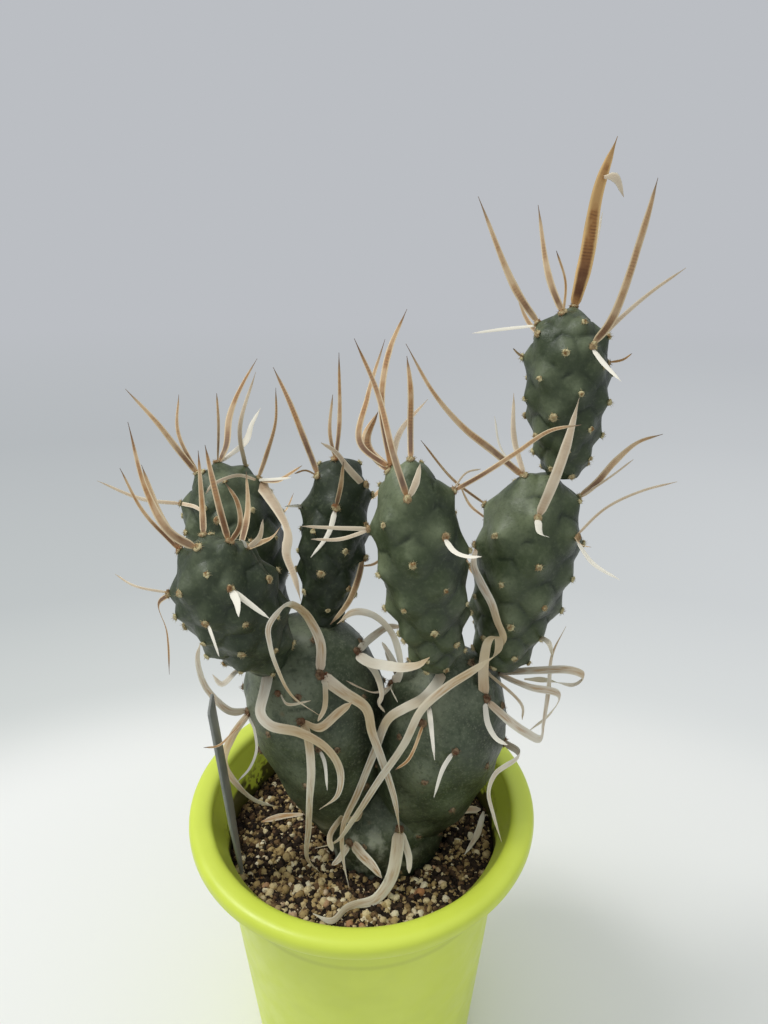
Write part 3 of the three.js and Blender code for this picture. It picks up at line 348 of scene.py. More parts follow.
# Small spines between the others
SMALL = {
    "top": (
        Blade(THREAD, (0.9, 0.7, 0.4), ((49, 13, 267), (46, 11, 269), (44, 9, 271))),
        Blade(THREAD, (0.9, 0.7, 0.4), ((71, 9, 267), (75, 8, 268), (77, 7, 270))),
    ),
    "right_upper": (
        Blade(BROWN, (2, 2, 1), ((63, -3, 218), (64, -13, 220), (66, -14, 220))),
        Blade(WORN, (1.6, 1.6, 1), ((56, -4, 184), (57, -15, 188), (58, -16, 184))),
    ),
    "center_front": (
        Blade(BROWN, (2.3, 2.3, 0.6), ((4, -8, 240), (3, -3, 247), (6, 0, 255))),
    ),
    "center_back": (
        Blade(WHITE, (1, 1, 0.5), ((-18, 15, 219), (-19, 8, 223), (-22, 3, 225))),
    ),
    "left_back": (
        Blade(TAN, (1, 1, 0.5), ((-47, 30, 228), (-43, 19, 247), (-43, 20, 255))),
        Blade(CREAM, (1, 1.1, 1, 0.5), ((-34, 26, 224), (-38, 10, 232), (-44, 8, 230),
            (-47, 10, 226))),
        Blade(WHITE, (1, 1, 0.5), ((-34, 26, 224), (-25, 10, 231), (-20, 6, 233))),
        Blade(CREAM, (1.6, 1.6, 0.5), ((-39, 31, 226), (-35, 12, 248), (-29, 10, 264))),
    ),
    "left_front": (
        Blade(WHITE, (1, 0.9, 0.5), ((-30, -21, 223), (-29, -28, 229), (-30, -33, 232))),
        Blade(CREAM, (1.4, 1.5, 0.6), ((-30, -21, 223), (-25, -26, 229), (-23, -30, 236))),
    ),
    "left": (
        Blade(OLD, (1.6, 1.6, 1), ((-8, -16, 174), (-10, -23, 171), (-12, -24, 167))),
        Blade(THREAD, (0.9, 0.8, 0.5), ((-36, -5, 155), (-39, -18, 158), (-43, -22, 156),
            (-47, -24, 157))),
        Blade(OLD, (1, 0.9, 0.5), ((-26, -14, 168), (-21, -20, 170), (-14, -22, 173))),
        Blade(OLD, (1.6, 2, 1.8, 0.8), ((-33, -3, 172), (-37, -14, 178), (-41, -18, 176),
            (-44, -16, 178))),
    ),
    "right": (
        Blade(OLD, (1, 1, 0.6), ((11, 2, 161), (6, -9, 162), (8, -10, 159))),
        Blade(OLD, (1, 1, 0.6), ((11, 2, 161), (10, -9, 167), (12, -10, 163))),
        Blade(THREAD, (1, 1, 0.5), ((18, -18, 159), (15, -26, 154), (11, -27, 151))),
        Blade(OLD, (1, 1, 0.6), ((49, -4, 168), (51, -11, 163), (52, -10, 156))),
    ),
    "base": (
        Blade(OLD, (2.3, 2.2, 1.6), ((-11, -12, 117), (-10, -22, 118), (-9, -24, 114))),
    ),
}

# Old spines that have dropped onto the soil, as places on it
FALLEN = (
    Blade(DULL, (3.6, 4.2, 3.4), ((31.5, 8), (38, 10), (44, 10))),
    Blade(OLD, (1.8, 2.4, 0.8), ((45, 9), (41.5, -1), (36, -10.5))),
    Blade(DULL, (2.2, 3, 1.4), ((-37, 4), (-31, 7), (-21.5, 8.5))),
)

# The torn edge of the widest spine
TORN = Blade(CREAM, (2, 2.6, 0.5), ((67, 19, 315), (70, 19, 315), (73, 19, 310)))

POT_HEIGHT = 116.4
RIM_INNER = 51.8
SOIL_LEVEL = 96.0
GOLDEN = 137.5
PEAK = 0.72  # how much of a tubercle is a pointed peak, and the rest a soft swelling
PEAK_POWER = 2.1
PEAK_REACH = 1.25  # how far it spreads, in half distances between areoles
BLACK = (0.0, 0.0, 0.0)


class Draws:
    """A repeatable source of draws between 0 and 1."""

    def __init__(self, seed: int) -> None:
        """Starts from a seed."""
        self.state = seed

    def next(self) -> float:
        """The next draw."""
        self.state = (self.state * 1664525 + 1013904223) % 4294967296
        return self.state / 4294967296


def mix(low: float, high: float, share: float) -> float:
    """A value between two others."""
    return low + (high - low) * share


def ramp(values: Sequence[float], share: float) -> float:
    """Reads an evenly spaced list at a place along it, from 0 to 1."""
    place = share * (len(values) - 1)
    low = min(int(place), len(values) - 2)
    return mix(values[low], values[low + 1], place - low)


def smooth(low: float, high: float, value: float) -> float:
    """A soft step from 0 at low to 1 at high."""
    share = max(0.0, min(1.0, (value - low) / (high - low)))
    return share * share * (3 - 2 * share)


def soil_height(x: float, y: float) -> float:
    """Height of the soil's top at a place."""
    return SOIL_LEVEL + 0.5 * math.sin(x / 9 + 1) * math.cos(y / 11) + 0.3 * math.sin(y / 5 + x / 7)


def curve_points(path: Sequence[Vector], spacing: float) -> list[tuple[float, Vector]]:
    """Points along a smooth centripetal curve through a path.

    Args:
        path: the points that the curve passes through.
        spacing: the distance between the points, about.

    Returns:
        Pairs of the share of the path and the point there.
    """
    ends = [path[0] * 2 - path[1], *path, path[-1] * 2 - path[-2]]
    result = []
    stages = len(path) - 1
    for stage in range(stages):
        a, b, c, d = ends[stage:stage + 4]
        gaps = [max((q - p).length, 1e-4) ** 0.5 for p, q in ((a, b), (b, c), (c, d))]
        leave = ((b - a) / gaps[0] - (c - a) / (gaps[0] + gaps[1]) + (c - b) / gaps[1]) * gaps[1]
        arrive = ((c - b) / gaps[1] - (d - b) / (gaps[1] + gaps[2]) + (d - c) / gaps[2]) * gaps[1]
        steps = max(2, round((c - b).length / spacing))
        for step in range(steps + (stage == stages - 1)):
            t = step / steps
            square = (3 * (c - b) - 2 * leave - arrive) * t ** 2
            cube = (2 * (b - c) + leave + arrive) * t ** 3
            result.append(((stage + t) / stages, b + leave * t + square + cube))
    return result


class Value:
    """One output of a node, reckoned with like a number."""

    def __init__(self, steps: "Steps", socket: Socket) -> None:
        """Takes the steps that it is one of, and its socket."""
        self.steps = steps
        self.socket = socket

    def __add__(self, other: object) -> "Value":
        """The sum with another value or number."""
        return self.steps.math("ADD", self, other)

    def __sub__(self, other: object) -> "Value":
        """What is left without another value or number."""
        return self.steps.math("SUBTRACT", self, other)

    def __rsub__(self, other: float) -> "Value":
        """What is left of a number without this value."""
        return self.steps.math("SUBTRACT", other, self)

    def __mul__(self, other: object) -> "Value":
        """The product with another value or number."""
        return self.steps.math("MULTIPLY", self, other)

    def span(self, low: float, high: float, first: float = 0.0, last: float = 1.0) -> "Value":
        """Brings the span from low to high softly onto first to last, and holds it there."""
        sockets = {"Value": self, "From Min": low, "From Max": high, "To Min": first, "To Max": last}
        return self.steps.get("ShaderNodeMapRange", sockets, "Result", interpolation_type="SMOOTHSTEP")


class Steps:
    """A node tree written as a list of steps, for shaders and for geometry."""

    place: Value

    def __init__(self, tree: bpy.types.NodeTree) -> None:
        """Takes the tree to add to."""
        self.tree = tree

    def fill(self, socket: Socket, value: object) -> None:
        """Links a value to an input, or sets a plain number, vector, colour or object on it."""
        if isinstance(value, Value):
            self.tree.links.new(value.socket, socket)
        else:
            socket.default_value = (*value, 1.0) if socket.type == "RGBA" else value

    def add(self, kind: str, inputs: dict | None = None, **settings: object) -> bpy.types.Node:
        """Adds a node.

        Args:
            kind: the node's type.
            inputs: what fills its inputs, by name or number.
            settings: the node's own options.

        Returns:
            The new node.
        """
        node = self.tree.nodes.new(kind)
        for name, value in settings.items():
            setattr(node, name, value)
        for key, value in (inputs or {}).items():
            self.fill(node.inputs[key], value)
        return node

    def get(self, kind: str, inputs: dict | None = None, output: int | str = 0, **settings: object) -> Value:
        """Adds a node and gives one of its outputs."""
        return Value(self, self.add(kind, inputs, **settings).outputs[output])

    def math(self, operation: str, *values: object) -> Value:
        """One sum of numbers, such as SINE or MAXIMUM."""
        return self.get("ShaderNodeMath", dict(enumerate(values)), operation=operation)

    def blend(self, share: object, first: object, second: object, way: str = "MIX") -> Value:
        """Mixes two colours by a share."""
        return self.get("ShaderNodeMix", {0: share, 6: first, 7: second}, 2, data_type="RGBA", blend_type=way)

    def noise(self, scale: object, detail: float = 3.0, rough: float = 0.55,
              place: Value | None = None) -> Value:
        """Soft random values from 0 to 1, over the object unless another place is given."""
        sockets = {"Vector": place or self.place, "Scale": scale, "Detail": detail, "Roughness": rough}
        return self.get("ShaderNodeTexNoise", sockets)

    def parts(self, vector: Value) -> list[Value]:
        """The three parts of a vector."""
        return [Value(self, part) for part in self.add("ShaderNodeSeparateXYZ", {0: vector}).outputs]

    def vector(self, *parts: Value) -> Value:
        """A vector put together from its parts."""
        return self.get("ShaderNodeCombineXYZ", dict(enumerate(parts)))

    def scaled(self, vector: Value, size: Value) -> Value:
        """A vector times a number."""
        return self.get("ShaderNodeVectorMath", {0: vector, "Scale": size}, operation="SCALE")

    def length(self, vector: Value) -> Value:
        """How long a vector is."""
        return self.get("ShaderNodeVectorMath", {0: vector}, "Value", operation="LENGTH")

    def tone(self, value: Value, tones: Sequence[tuple[float, Colour]]) -> Value:
        """The colour for a value on a scale of tones."""
        scale = self.add("ShaderNodeValToRGB", {0: value})
        marks = scale.color_ramp.elements
        while len(marks) < len(tones):
            marks.new(0.5)
        for mark, (place, colour) in zip(marks, tones):
            mark.position = place
            mark.color = (*colour, 1.0)
        return Value(self, scale.outputs[0])


class GeometryRecipe(Steps):
    """A geometry nodes tree with named sizes, run once on an object and then removed from it."""

    def __init__(self, name: str) -> None:
        """Makes an empty tree with a geometry input and output."""
        super().__init__(bpy.data.node_groups.new(name, "GeometryNodeTree"))
        for side in ("INPUT", "OUTPUT"):
            self.tree.interface.new_socket("Geometry", in_out=side, socket_type="NodeSocketGeometry")
        self.entry = self.add("NodeGroupInput")
        self.place = self.get("GeometryNodeInputPosition")
        self.normal = self.get("GeometryNodeInputNormal")

    @property
    def start(self) -> Value:
        """The geometry that comes in."""
        return Value(self, self.entry.outputs[0])

    def sizes(self, *names: str, kind: str = "Float") -> list[Value]:
        """Adds named inputs and gives their values."""
        for name in names:
            self.tree.interface.new_socket(name, in_out="INPUT", socket_type=f"NodeSocket{kind}")
        return [Value(self, self.entry.outputs[name]) for name in names]

    def read(self, name: str, kind: str = "FLOAT") -> Value:
        """The values of a named attribute."""
        return self.get("GeometryNodeInputNamedAttribute", {"Name": name}, data_type=kind)

    def store(self, shape: Value, name: str, value: Value, domain: str = "POINT") -> Value:
        """Keeps a value as a named attribute."""
        sockets = {"Geometry": shape, "Name": name, "Value": value}
        return self.get("GeometryNodeStoreNamedAttribute", sockets, domain=domain)

    def random(self, low: object, high: object, seed: object, kind: str = "FLOAT") -> Value:
        """A draw between two values."""
        sockets = {"Min": low, "Max": high, "Seed": seed}
        return self.get("FunctionNodeRandomValue", sockets, "Value", data_type=kind)

    def scatter(self, shape: Value, density: Value, seed: object) -> list[Value]:
        """Points spread over a shape, and the turns that stand them on it."""
        sockets = {"Mesh": shape, "Density": density, "Seed": seed}
        node = self.add("GeometryNodeDistributePointsOnFaces", sockets)
        return [Value(self, node.outputs[name]) for name in ("Points", "Rotation")]

    def copies(self, points: Value, shape: Value, turn: Value, **more: Value) -> Value:
        """A copy of a shape on each point."""
        sockets = {"Points": points, "Instance": shape, "Rotation": turn, **more}
        return self.get("GeometryNodeInstanceOnPoints", sockets)

    def real(self, shape: Value) -> Value:
        """Copies made into plain mesh."""
        return self.get("GeometryNodeRealizeInstances", {0: shape})

    def moved(self, shape: Value, way: Value, reach: Value) -> Value:
        """A shape with its points moved along a way."""
        return self.get("GeometryNodeSetPosition", {"Geometry": shape, "Offset": self.scaled(way, reach)})

    def finish(self, shape: Value, material: bpy.types.Material) -> "GeometryRecipe":
        """Ends the tree: instances made real, shaded smooth, and given a material."""
        smoothed = self.get("GeometryNodeSetShadeSmooth", {0: self.real(shape)})
        dressed = self.get("GeometryNodeSetMaterial", {0: smoothed, "Material": material})
        self.add("NodeGroupOutput", {0: dressed})
        return self

    def run(self, piece: bpy.types.Object, sizes: dict[str, object]) -> bpy.types.Object:
        """Runs the tree on an object and keeps the result as its plain mesh.

        Args:
            piece: the object.
            sizes: values for the named inputs.

        Returns:
            The same object, with no modifier left on it.
        """
        modifier = piece.modifiers.new(self.tree.name, "NODES")
        modifier.node_group = self.tree
        for item in self.tree.interface.items_tree:
            if item.in_out == "INPUT" and item.name in sizes:
                modifier[item.identifier] = sizes[item.name]
        return settled_mesh(piece, modifier)


def settled_mesh(piece: bpy.types.Object, modifier: bpy.types.Modifier) -> bpy.types.Object:
    """Makes a modifier's result an object's plain mesh, and removes the modifier."""
    depsgraph = bpy.context.evaluated_depsgraph_get()
    done = piece.evaluated_get(depsgraph)
    mesh = bpy.data.meshes.new_from_object(done, preserve_all_data_layers=True, depsgraph=depsgraph)
    piece.modifiers.remove(modifier)
    piece.data = mesh
    return piece


class Effect(Steps):
    """A shader node group with a place, named inputs and one output."""

    made: dict[str, bpy.types.NodeTree] = {}

    def __init__(self, name: str, output: str, *inputs: str) -> None:
        """Makes the group and keeps it under its name.

        Args:
            name: its name.
            output: the kind of its output.
            inputs: names of its inputs, colours where they end in colour and numbers elsewhere.
        """
        super().__init__(bpy.data.node_groups.new(name, "ShaderNodeTree"))
        self.made[name] = self.tree
        sockets = [("Place", "Vector")]
        sockets += [(socket, "Color" if socket.endswith("colour") else "Float") for socket in inputs]
        for socket, kind in sockets:
            self.tree.interface.new_socket(socket, in_out="INPUT", socket_type=f"NodeSocket{kind}")
        self.tree.interface.new_socket("Result", in_out="OUTPUT", socket_type=f"NodeSocket{output}")
        self.place, *self.given = (Value(self, socket) for socket in self.add("NodeGroupInput").outputs
                                   if socket.name)

    def end(self, result: Value) -> None:
        """Puts the result out."""
        self.add("NodeGroupOutput", {0: result})


def make_effects() -> None:
    """Makes the node groups that the materials share."""
    mottle = Effect("mottle", "Color", "First colour", "Second colour", "Scale", "Cover")
    first, second, scale, cover = mottle.given
    share = (mottle.noise(scale, 4.0, 0.6) + (cover - 0.5)).span(0.38, 0.62)
    mottle.end(mottle.blend(share, first, second))
    relief = Effect("relief", "Float", "Scale", "Depth")
    scale, depth = relief.given
    relief.end(relief.noise(scale, 5.0, 0.65) * depth)
    speckle = Effect("speckle", "Float", "Scale", "Cover")
    scale, cover = speckle.given
    cells = speckle.get("ShaderNodeTexVoronoi", {"Vector": speckle.place, "Scale": scale}, "Distance")
    speckle.end((cover - cells).span(0.0, 0.12))


class Finish(Steps):
    """A material that starts from a Principled shader and Object coordinates."""

    def __init__(self, name: str, gloss: float, **plain: float) -> None:
        """Makes the material.

        Args:
            name: the material's name.
            gloss: its roughness.
            plain: values that are the same all over, by the shader's own socket names.
        """
        self.material = bpy.data.materials.new(name)
        self.material.use_nodes = True
        super().__init__(self.material.node_tree)
        self.shader = self.tree.nodes["Principled BSDF"]
        for socket, value in {"Roughness": gloss, **plain}.items():
            self.shader.inputs[socket.replace("_", " ")].default_value = value
        self.place = self.get("ShaderNodeTexCoord", output="Object")

    def effect(self, name: str, *values: object) -> Value:
        """Places a shared effect, its inputs after the place filled in order."""
        sockets = dict(enumerate((self.place, *values)))
        return self.get("ShaderNodeGroup", sockets, node_tree=Effect.made[name])

    def mottle(self, first: Colour, second: Colour, scale: float, cover: float) -> Value:
        """Patches of a second colour over a first."""
        return self.effect("mottle", first, second, scale, cover)

    def read(self, name: str) -> Value:
        """A number that the mesh carries."""
        return self.get("ShaderNodeAttribute", output="Fac", attribute_name=name)

    def drive(self, socket: str, value: Value) -> None:
        """Lets a value that changes over the surface drive one of the shader's inputs."""
        self.fill(self.shader.inputs[socket], value)

    def colour(self, value: Value) -> None:
        """Sets the surface's colour."""
        self.drive("Base Color", value)

    def bump(self, height: Value, strength: float = 1.0) -> None:
        """Shades the surface by a height in metres."""
        self.drive("Normal", self.get("ShaderNodeBump", {
            "Height": height, "Strength": strength, "Distance": 1.0}))

    def uneven(self, scale: float, depth: float, strength: float = 1.0) -> bpy.types.Material:
        """Shades the surface by fine unevenness of a depth in metres, and gives the material."""
        self.bump(self.effect("relief", scale, depth), strength)
        return self.material


@dataclass(frozen=True)
class SkinFinish:
    """Cactus skin: grey green, bluish on the tubercles, with a painted highlight on the side that faces the
    key light, painted shade in the creases, on the side turned away from it and near the soil, older ones
    speckled.
    """

    name: str
    # crease: the dark colour of the painted shade in the creases, on the far side and near the soil
    crease: Colour
    body: Colour
    # bloom: the pale bluish colour of the waxy bloom, also used for the painted highlight
    bloom_and_highlight: Colour
    speck: Colour
    specks: float
    scars: float
    # direction towards the key light, which the painted light and shade follow
    sun: tuple[float, float, float] = (-0.6, -0.3, 0.74)
    cork: Colour = (0.2, 0.14, 0.07)
    # worn: the pale colour of scuffs, shown only on the lit side, so partly a painted highlight
    worn: Colour = (0.55, 0.56, 0.45)

    def make(self) -> bpy.types.Material:
        """Builds the material."""
        finish = Finish(self.name, 0.5, Specular_IOR_Level=0.4)
        hill, fold, shade = (finish.read(name) for name in ("hill", "fold", "shade"))
        high = finish.parts(finish.place)[2]
        normal = finish.get("ShaderNodeNewGeometry", output="Normal")
        light = finish.get("ShaderNodeVectorMath", {0: normal, 1: self.sun}, "Value", operation="DOT_PRODUCT")
        # painted shade: darker on the side turned away from the key light and in the hollows between
        # tubercles
        painted_shade = light.span(0.28, -0.4, 0.0, 0.75) + hill.span(0.12, 0.0, 0.0, 0.35)
        # lighter on the tubercle tops and on the side facing the key light: waxy bloom and a painted
        # highlight
        bloom_and_painted_highlight = hill.span(0.05, 0.6, 0.0, 0.3) + light.span(0.1, 0.85, 0.0, 0.6)
        patches = finish.mottle(self.body, self.bloom_and_highlight, 70.0, 0.52)
        lit = finish.blend(bloom_and_painted_highlight, finish.blend(painted_shade, self.body, self.crease), patches)
        # painted shade along the folds over the tubercles, in the crease colour
        lines = fold * finish.noise(85.0, 2.0).span(0.45, 0.6)
        folded = finish.blend(lines * 0.75, lit, self.crease)
        # painted shade: each joint's own amount of shade, and darker towards the soil
        deep = finish.math("MAXIMUM", shade, high.span(0.118, 0.098) * 0.6)
        shaded = finish.blend(deep, folded, self.crease)
        grain = finish.noise(750.0)
        pale = finish.blend(grain.span(0.52, 0.7, 0.0, 0.8 * self.specks), shaded, self.bloom_and_highlight)
        grained = finish.blend(grain.span(0.48, 0.3, 0.0, self.specks), pale, self.crease)
        crowded = finish.noise(160.0, 2.0).span(0.35, 0.65, 0.1, self.specks)
        dotted = finish.blend(finish.effect("speckle", 1000.0, 0.34) * crowded, grained, self.speck)
        corky = finish.blend(finish.effect("speckle", 95.0, 0.13) * self.scars, dotted, self.cork)
        # pale scuffs near the soil, kept to the side that faces the key light: wear and a painted highlight
        patchy = finish.noise(120.0, 5.0).span(0.48, 0.6) * high.span(0.116, 0.109)
        scuffs_and_highlight = patchy * light.span(-0.1, 0.3) * self.scars
        finish.colour(finish.blend(scuffs_and_highlight, corky, self.worn))
        finish.drive("Roughness", finish.noise(300.0).span(0.3, 0.7, 0.36, 0.52))
        return finish.uneven(900.0, 0.0002, 0.8)


@dataclass(frozen=True)
class PaperFinish:
    """Papery spines, coloured by what each blade carries: along, across, run and its paper kind."""

    pale: Colour = (0.76, 0.6, 0.37)
    white: Colour = (0.88, 0.83, 0.7)
    ochre: Colour = (0.84, 0.56, 0.24)
    tan: Colour = (0.4, 0.19, 0.06)
    brown: Colour = (0.1, 0.035, 0.015)
    worn: Colour = (0.88, 0.84, 0.7)
    aged: Colour = (0.74, 0.6, 0.37)
    stain: Colour = (0.52, 0.3, 0.12)
    tip: Colour = (0.12, 0.07, 0.045)

    def make(self) -> bpy.types.Material:
        """Builds the material."""
        finish = Finish("papery_spine", 0.62, Specular_IOR_Level=0.35)
        along, across, run, brown, bands, tip, worn = (
            finish.read(name) for name in ("along", "across", "run", "brown", "bands", "tip", "worn"))
        middle = finish.math("ABSOLUTE", across).span(0.92, 0.4)
        cloud = finish.noise(130.0)
        plain = finish.blend(brown * 1.4, self.white, self.pale)
        base = finish.blend(bands.span(0.6, 1.0), plain, self.ochre)
        share = middle * cloud.span(0.36, 0.6, 0.5, 1.0) * brown
        toned = finish.blend(share * 1.15, base, self.tan)
        wave = finish.math("SINE", finish.math("MULTIPLY_ADD", run, 7.0, finish.noise(150.0, 1.0) * 9.0))
        rings = wave.span(-0.4, 1.0, 0.0, 0.7) * cloud.span(0.47, 0.62)
        ringed = finish.blend(rings * middle * bands, toned, self.brown)
        zone = along.span(0.03, 0.12) * along.span(0.5, 0.2) * cloud.span(0.3, 0.5, 0.5, 1.0)
        blotch = zone * bands.span(0.1, 0.5) * middle.span(0.0, 1.0, 0.0, 0.86)
        dark = finish.blend(blotch, ringed, self.brown)
        streaks = finish.noise(2.2, 5.0, place=finish.vector(across * 1.1, run * 0.07, worn))
        fine = streaks.span(0.42, 0.66, 0.25, 1.0) * finish.noise(42.0, 2.0).span(0.36, 0.58)
        steeped = fine * middle.span(0.0, 0.6) * (brown + 0.45)
        faded = finish.blend(finish.noise(30.0, 2.0).span(0.46, 0.66), self.worn, self.aged)
        aged = finish.blend(worn * 1.15, dark, finish.blend(steeped, faded, self.stain))
        rooted = finish.blend(along.span(0.12, 0.0) * (brown * 0.8), aged, self.tan)
        finish.colour(finish.blend(along.span(0.82, 1.0) * tip, rooted, self.tip))
        finish.drive("Alpha", 1.0 - finish.noise(60.0).span(0.3, 0.7, 0.05, 0.22) * worn)
        ridges = finish.math("SINE", across * 19.0) * 0.00001
        finish.bump(ridges + finish.effect("relief", 260.0, 0.0001), 0.5)
        return finish.material


@dataclass(frozen=True)
class WoolFinish:
    """Felt of an areole, with its glochids: cream on young joints, red brown on old ones."""

    name: str
    felt: Colour
    deep: Colour
    rust: Colour

    def make(self) -> bpy.types.Material:
        """Builds the material."""
        finish = Finish(self.name, 0.9, Specular_IOR_Level=0.2)
        heart = (finish.read("core") + finish.noise(900.0)).span(1.3, 1.5) * 0.55
        centred = finish.blend(heart, finish.mottle(self.felt, self.deep, 700.0, 0.42), self.deep)
        rust = finish.read("rust") * finish.noise(500.0, 2.0).span(0.4, 0.6, 0.25, 1.0)
        finish.colour(finish.blend(rust, centred, self.rust))
        return finish.uneven(2500.0, 0.0002)


@dataclass(frozen=True)
class PotFinish:
    """Lime green moulded plastic, satin, with soil dust and specks inside above the soil, and a dark band at
    the foot of the inner wall, caked soil deepened by painted shade.
    """

    lime: Colour = (0.69, 0.8, 0.085)
    deep: Colour = (0.64, 0.745, 0.075)
    # earth: the colour of the dirt specks and of the dark band, which is partly painted shade
    earth: Colour = (0.03, 0.018, 0.01)

    def make(self) -> bpy.types.Material:
        """Builds the material."""
        finish = Finish("pot_plastic", 0.36, Specular_IOR_Level=0.5)
        x, y, z = finish.parts(finish.place)
        inside = finish.length(finish.vector(x, y)).span(0.0489, 0.0485)
        above = z.span(0.09, 0.094)
        clods = above * z.span(0.112, 0.097) * finish.noise(450.0, 4.0).span(0.5, 0.58)
        dirt = clods * finish.noise(90.0).span(0.42, 0.56)
        edge = finish.noise(60.0).span(0.35, 0.68, 0.106, 0.095)
        # a dark band at the foot of the inner wall, just above the soil: caked soil and painted shade
        caked_and_shade = above * 0.92 * (z - edge).span(0.0015, -0.001)
        soiled_and_shaded = inside * finish.math("MAXIMUM", dirt, caked_and_shade)
        finish.colour(finish.blend(soiled_and_shaded, finish.mottle(self.lime, self.deep, 22.0, 0.5), self.earth))
        finish.drive("Roughness", finish.noise(140.0).span(0.3, 0.7, 0.3, 0.42))
        return finish.uneven(1400.0, 0.00004, 0.5)


@dataclass(frozen=True)
class EarthFinish:
    """Damp peat between the grains."""

    dark: Colour = (0.012, 0.008, 0.005)
    light: Colour = (0.05, 0.03, 0.018)

    def make(self) -> bpy.types.Material:
        """Builds the material."""
        finish = Finish("peat", 0.95, Specular_IOR_Level=0.2)
        finish.colour(finish.mottle(self.dark, self.light, 420.0, 0.4))
        return finish.uneven(900.0, 0.001)


@dataclass(frozen=True)
class GrainFinish:
    """Grit and crumbs, from dark peat to pale pumice by the tone that each grain carries."""

    tones: tuple[tuple[float, Colour], ...] = (
        (0.0, (0.014, 0.009, 0.006)),
        (0.36, (0.052, 0.032, 0.019)),
        (0.5, (0.16, 0.09, 0.042)),
        (0.64, (0.44, 0.31, 0.13)),
        (0.82, (0.74, 0.6, 0.33)),
        (0.97, (0.85, 0.76, 0.53)),
        (1.0, (0.4, 0.15, 0.04)),
    )
    pit: Colour = (0.45, 0.4, 0.36)

    def make(self) -> bpy.types.Material:
        """Builds the material."""
        finish = Finish("grit", 0.9, Specular_IOR_Level=0.25)
        tone = finish.tone(finish.read("tone"), self.tones)
        pits = finish.mottle((1.0, 1.0, 1.0), self.pit, 900.0, 0.36)
        finish.colour(finish.blend(1.0, tone, pits, "MULTIPLY"))
        return finish.uneven(1500.0, 0.0004)


@dataclass(frozen=True)
class LabelFinish:
    """Thin pale grey plastic with faint scuffs."""

    light: Colour = (0.3, 0.31, 0.285)
    dark: Colour = (0.22, 0.23, 0.21)
    dust: Colour = (0.12, 0.1, 0.08)

    def make(self) -> bpy.types.Material:
        """Builds the material."""
        finish = Finish("label_plastic", 0.45)
        scuffed = finish.mottle(self.light, self.dark, 60.0, 0.45)
        finish.colour(finish.blend(finish.effect("speckle", 420.0, 0.14) * 0.4, scuffed, self.dust))
        return finish.uneven(300.0, 0.00008, 0.6)


@dataclass(frozen=True)
class TableFinish:
    """White table near the pot; beyond it the table glows with painted light, turning blue grey behind it,
    and a painted glow makes it a little lighter to the right.
    """

    white: Colour = (0.83, 0.825, 0.795)
    # the colour of the painted glow, where the table is lighter to the right
    painted_glow_right: Colour = (0.86, 0.87, 0.9)
    reach: float = 1.5
    squeeze: tuple[float, float, float] = (0.6, 1.0, 1.0)
    # tones of the table's painted glow beyond the pot, from near white to the backdrop's blue grey
    tones: tuple[tuple[float, Colour], ...] = (
        (0.08, (0.82, 0.83, 0.81)),
        (0.14, (0.66, 0.69, 0.675)),
        (0.24, (0.53, 0.56, 0.565)),
        (0.5, (0.465, 0.49, 0.508)),
        (1.0, (0.497, 0.515, 0.546)),
    )

    def make(self) -> bpy.types.Material:
        """Builds the material."""
        finish = Finish("table_top", 1.0, Specular_IOR_Level=0.0, Emission_Strength=1.0)
        squeezed = finish.get("ShaderNodeMapping", {"Vector": finish.place, "Scale": self.squeeze})
        reach = finish.length(squeezed)
        tone = finish.tone(finish.math("DIVIDE", reach, self.reach), self.tones)
        # a painted glow, lighter to the right
        lift = finish.parts(finish.place)[0].span(-0.3, 0.5, 0.0, 0.3) * reach.span(1.4, 0.3)
        away = reach.span(0.15, 0.24)
        finish.colour(finish.blend(away, self.white, BLACK))
        # beyond the pot the table glows with painted light in these tones
        finish.drive("Emission Color", finish.blend(away, BLACK, finish.blend(lift, tone, self.painted_glow_right)))
        return finish.material


def mesh_object(name: str, points: Iterable, faces: Sequence = (), edges: Sequence = ()) -> bpy.types.Object:
    """Makes an object at the origin from points in millimetres.

    Args:
        name: the object's name.
        points: its points.
        faces: its faces, as point numbers.
        edges: its edges, where it has no faces.

    Returns:
        The object, linked into the scene.
    """
    mesh = bpy.data.meshes.new(name)
    mesh.from_pydata([Vector(point) * MM for point in points], edges, faces)
    piece = bpy.data.objects.new(name, mesh)
    bpy.context.scene.collection.objects.link(piece)
    return piece


def carry(piece: bpy.types.Object, name: str, values: Sequence[float], vectors: bool = False) -> None:
    """Stores a number on each point of a piece, or a vector as three numbers in a row."""
    kind, key = ("FLOAT_VECTOR", "vector") if vectors else ("FLOAT", "value")
    piece.data.attributes.new(name, kind, "POINT").data.foreach_set(key, values)


def dress(piece: bpy.types.Object, material: bpy.types.Material) -> bpy.types.Object:
    """Gives a piece its only material and smooth shading."""
    piece.data.materials.clear()
    piece.data.materials.append(material)
    piece.data.shade_smooth()
    return piece


def settle(piece: bpy.types.Object, slot: str, *nodes: str) -> None:
    """Hangs a finished piece on the root, and hides the CAD nodes that it stands for.

    Args:
        piece: the finished piece.
        slot: not used.
        nodes: the CAD nodes that it replaces.
    """
    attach(piece, "root")
    if nodes:
        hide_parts(*nodes)
    LOG.info("%s: %d faces, for %s", piece.name, len(piece.data.polygons), ", ".join(nodes) or "nothing")


def tube_faces(rings: int, sides: int) -> list[tuple[int, ...]]:
    """Faces of a closed tube: a first point, rings of points round the axis, and a last point."""
    faces = []
    end = 1 + rings * sides
    for k in range(sides):
        after = (k + 1) % sides
        faces.append((0, 1 + after, 1 + k))
        for low in range(1, end - sides, sides):
            faces.append((low + k, low + after, low + sides + after, low + sides + k))
        faces.append((end - sides + k, end - sides + after, end))
    return faces


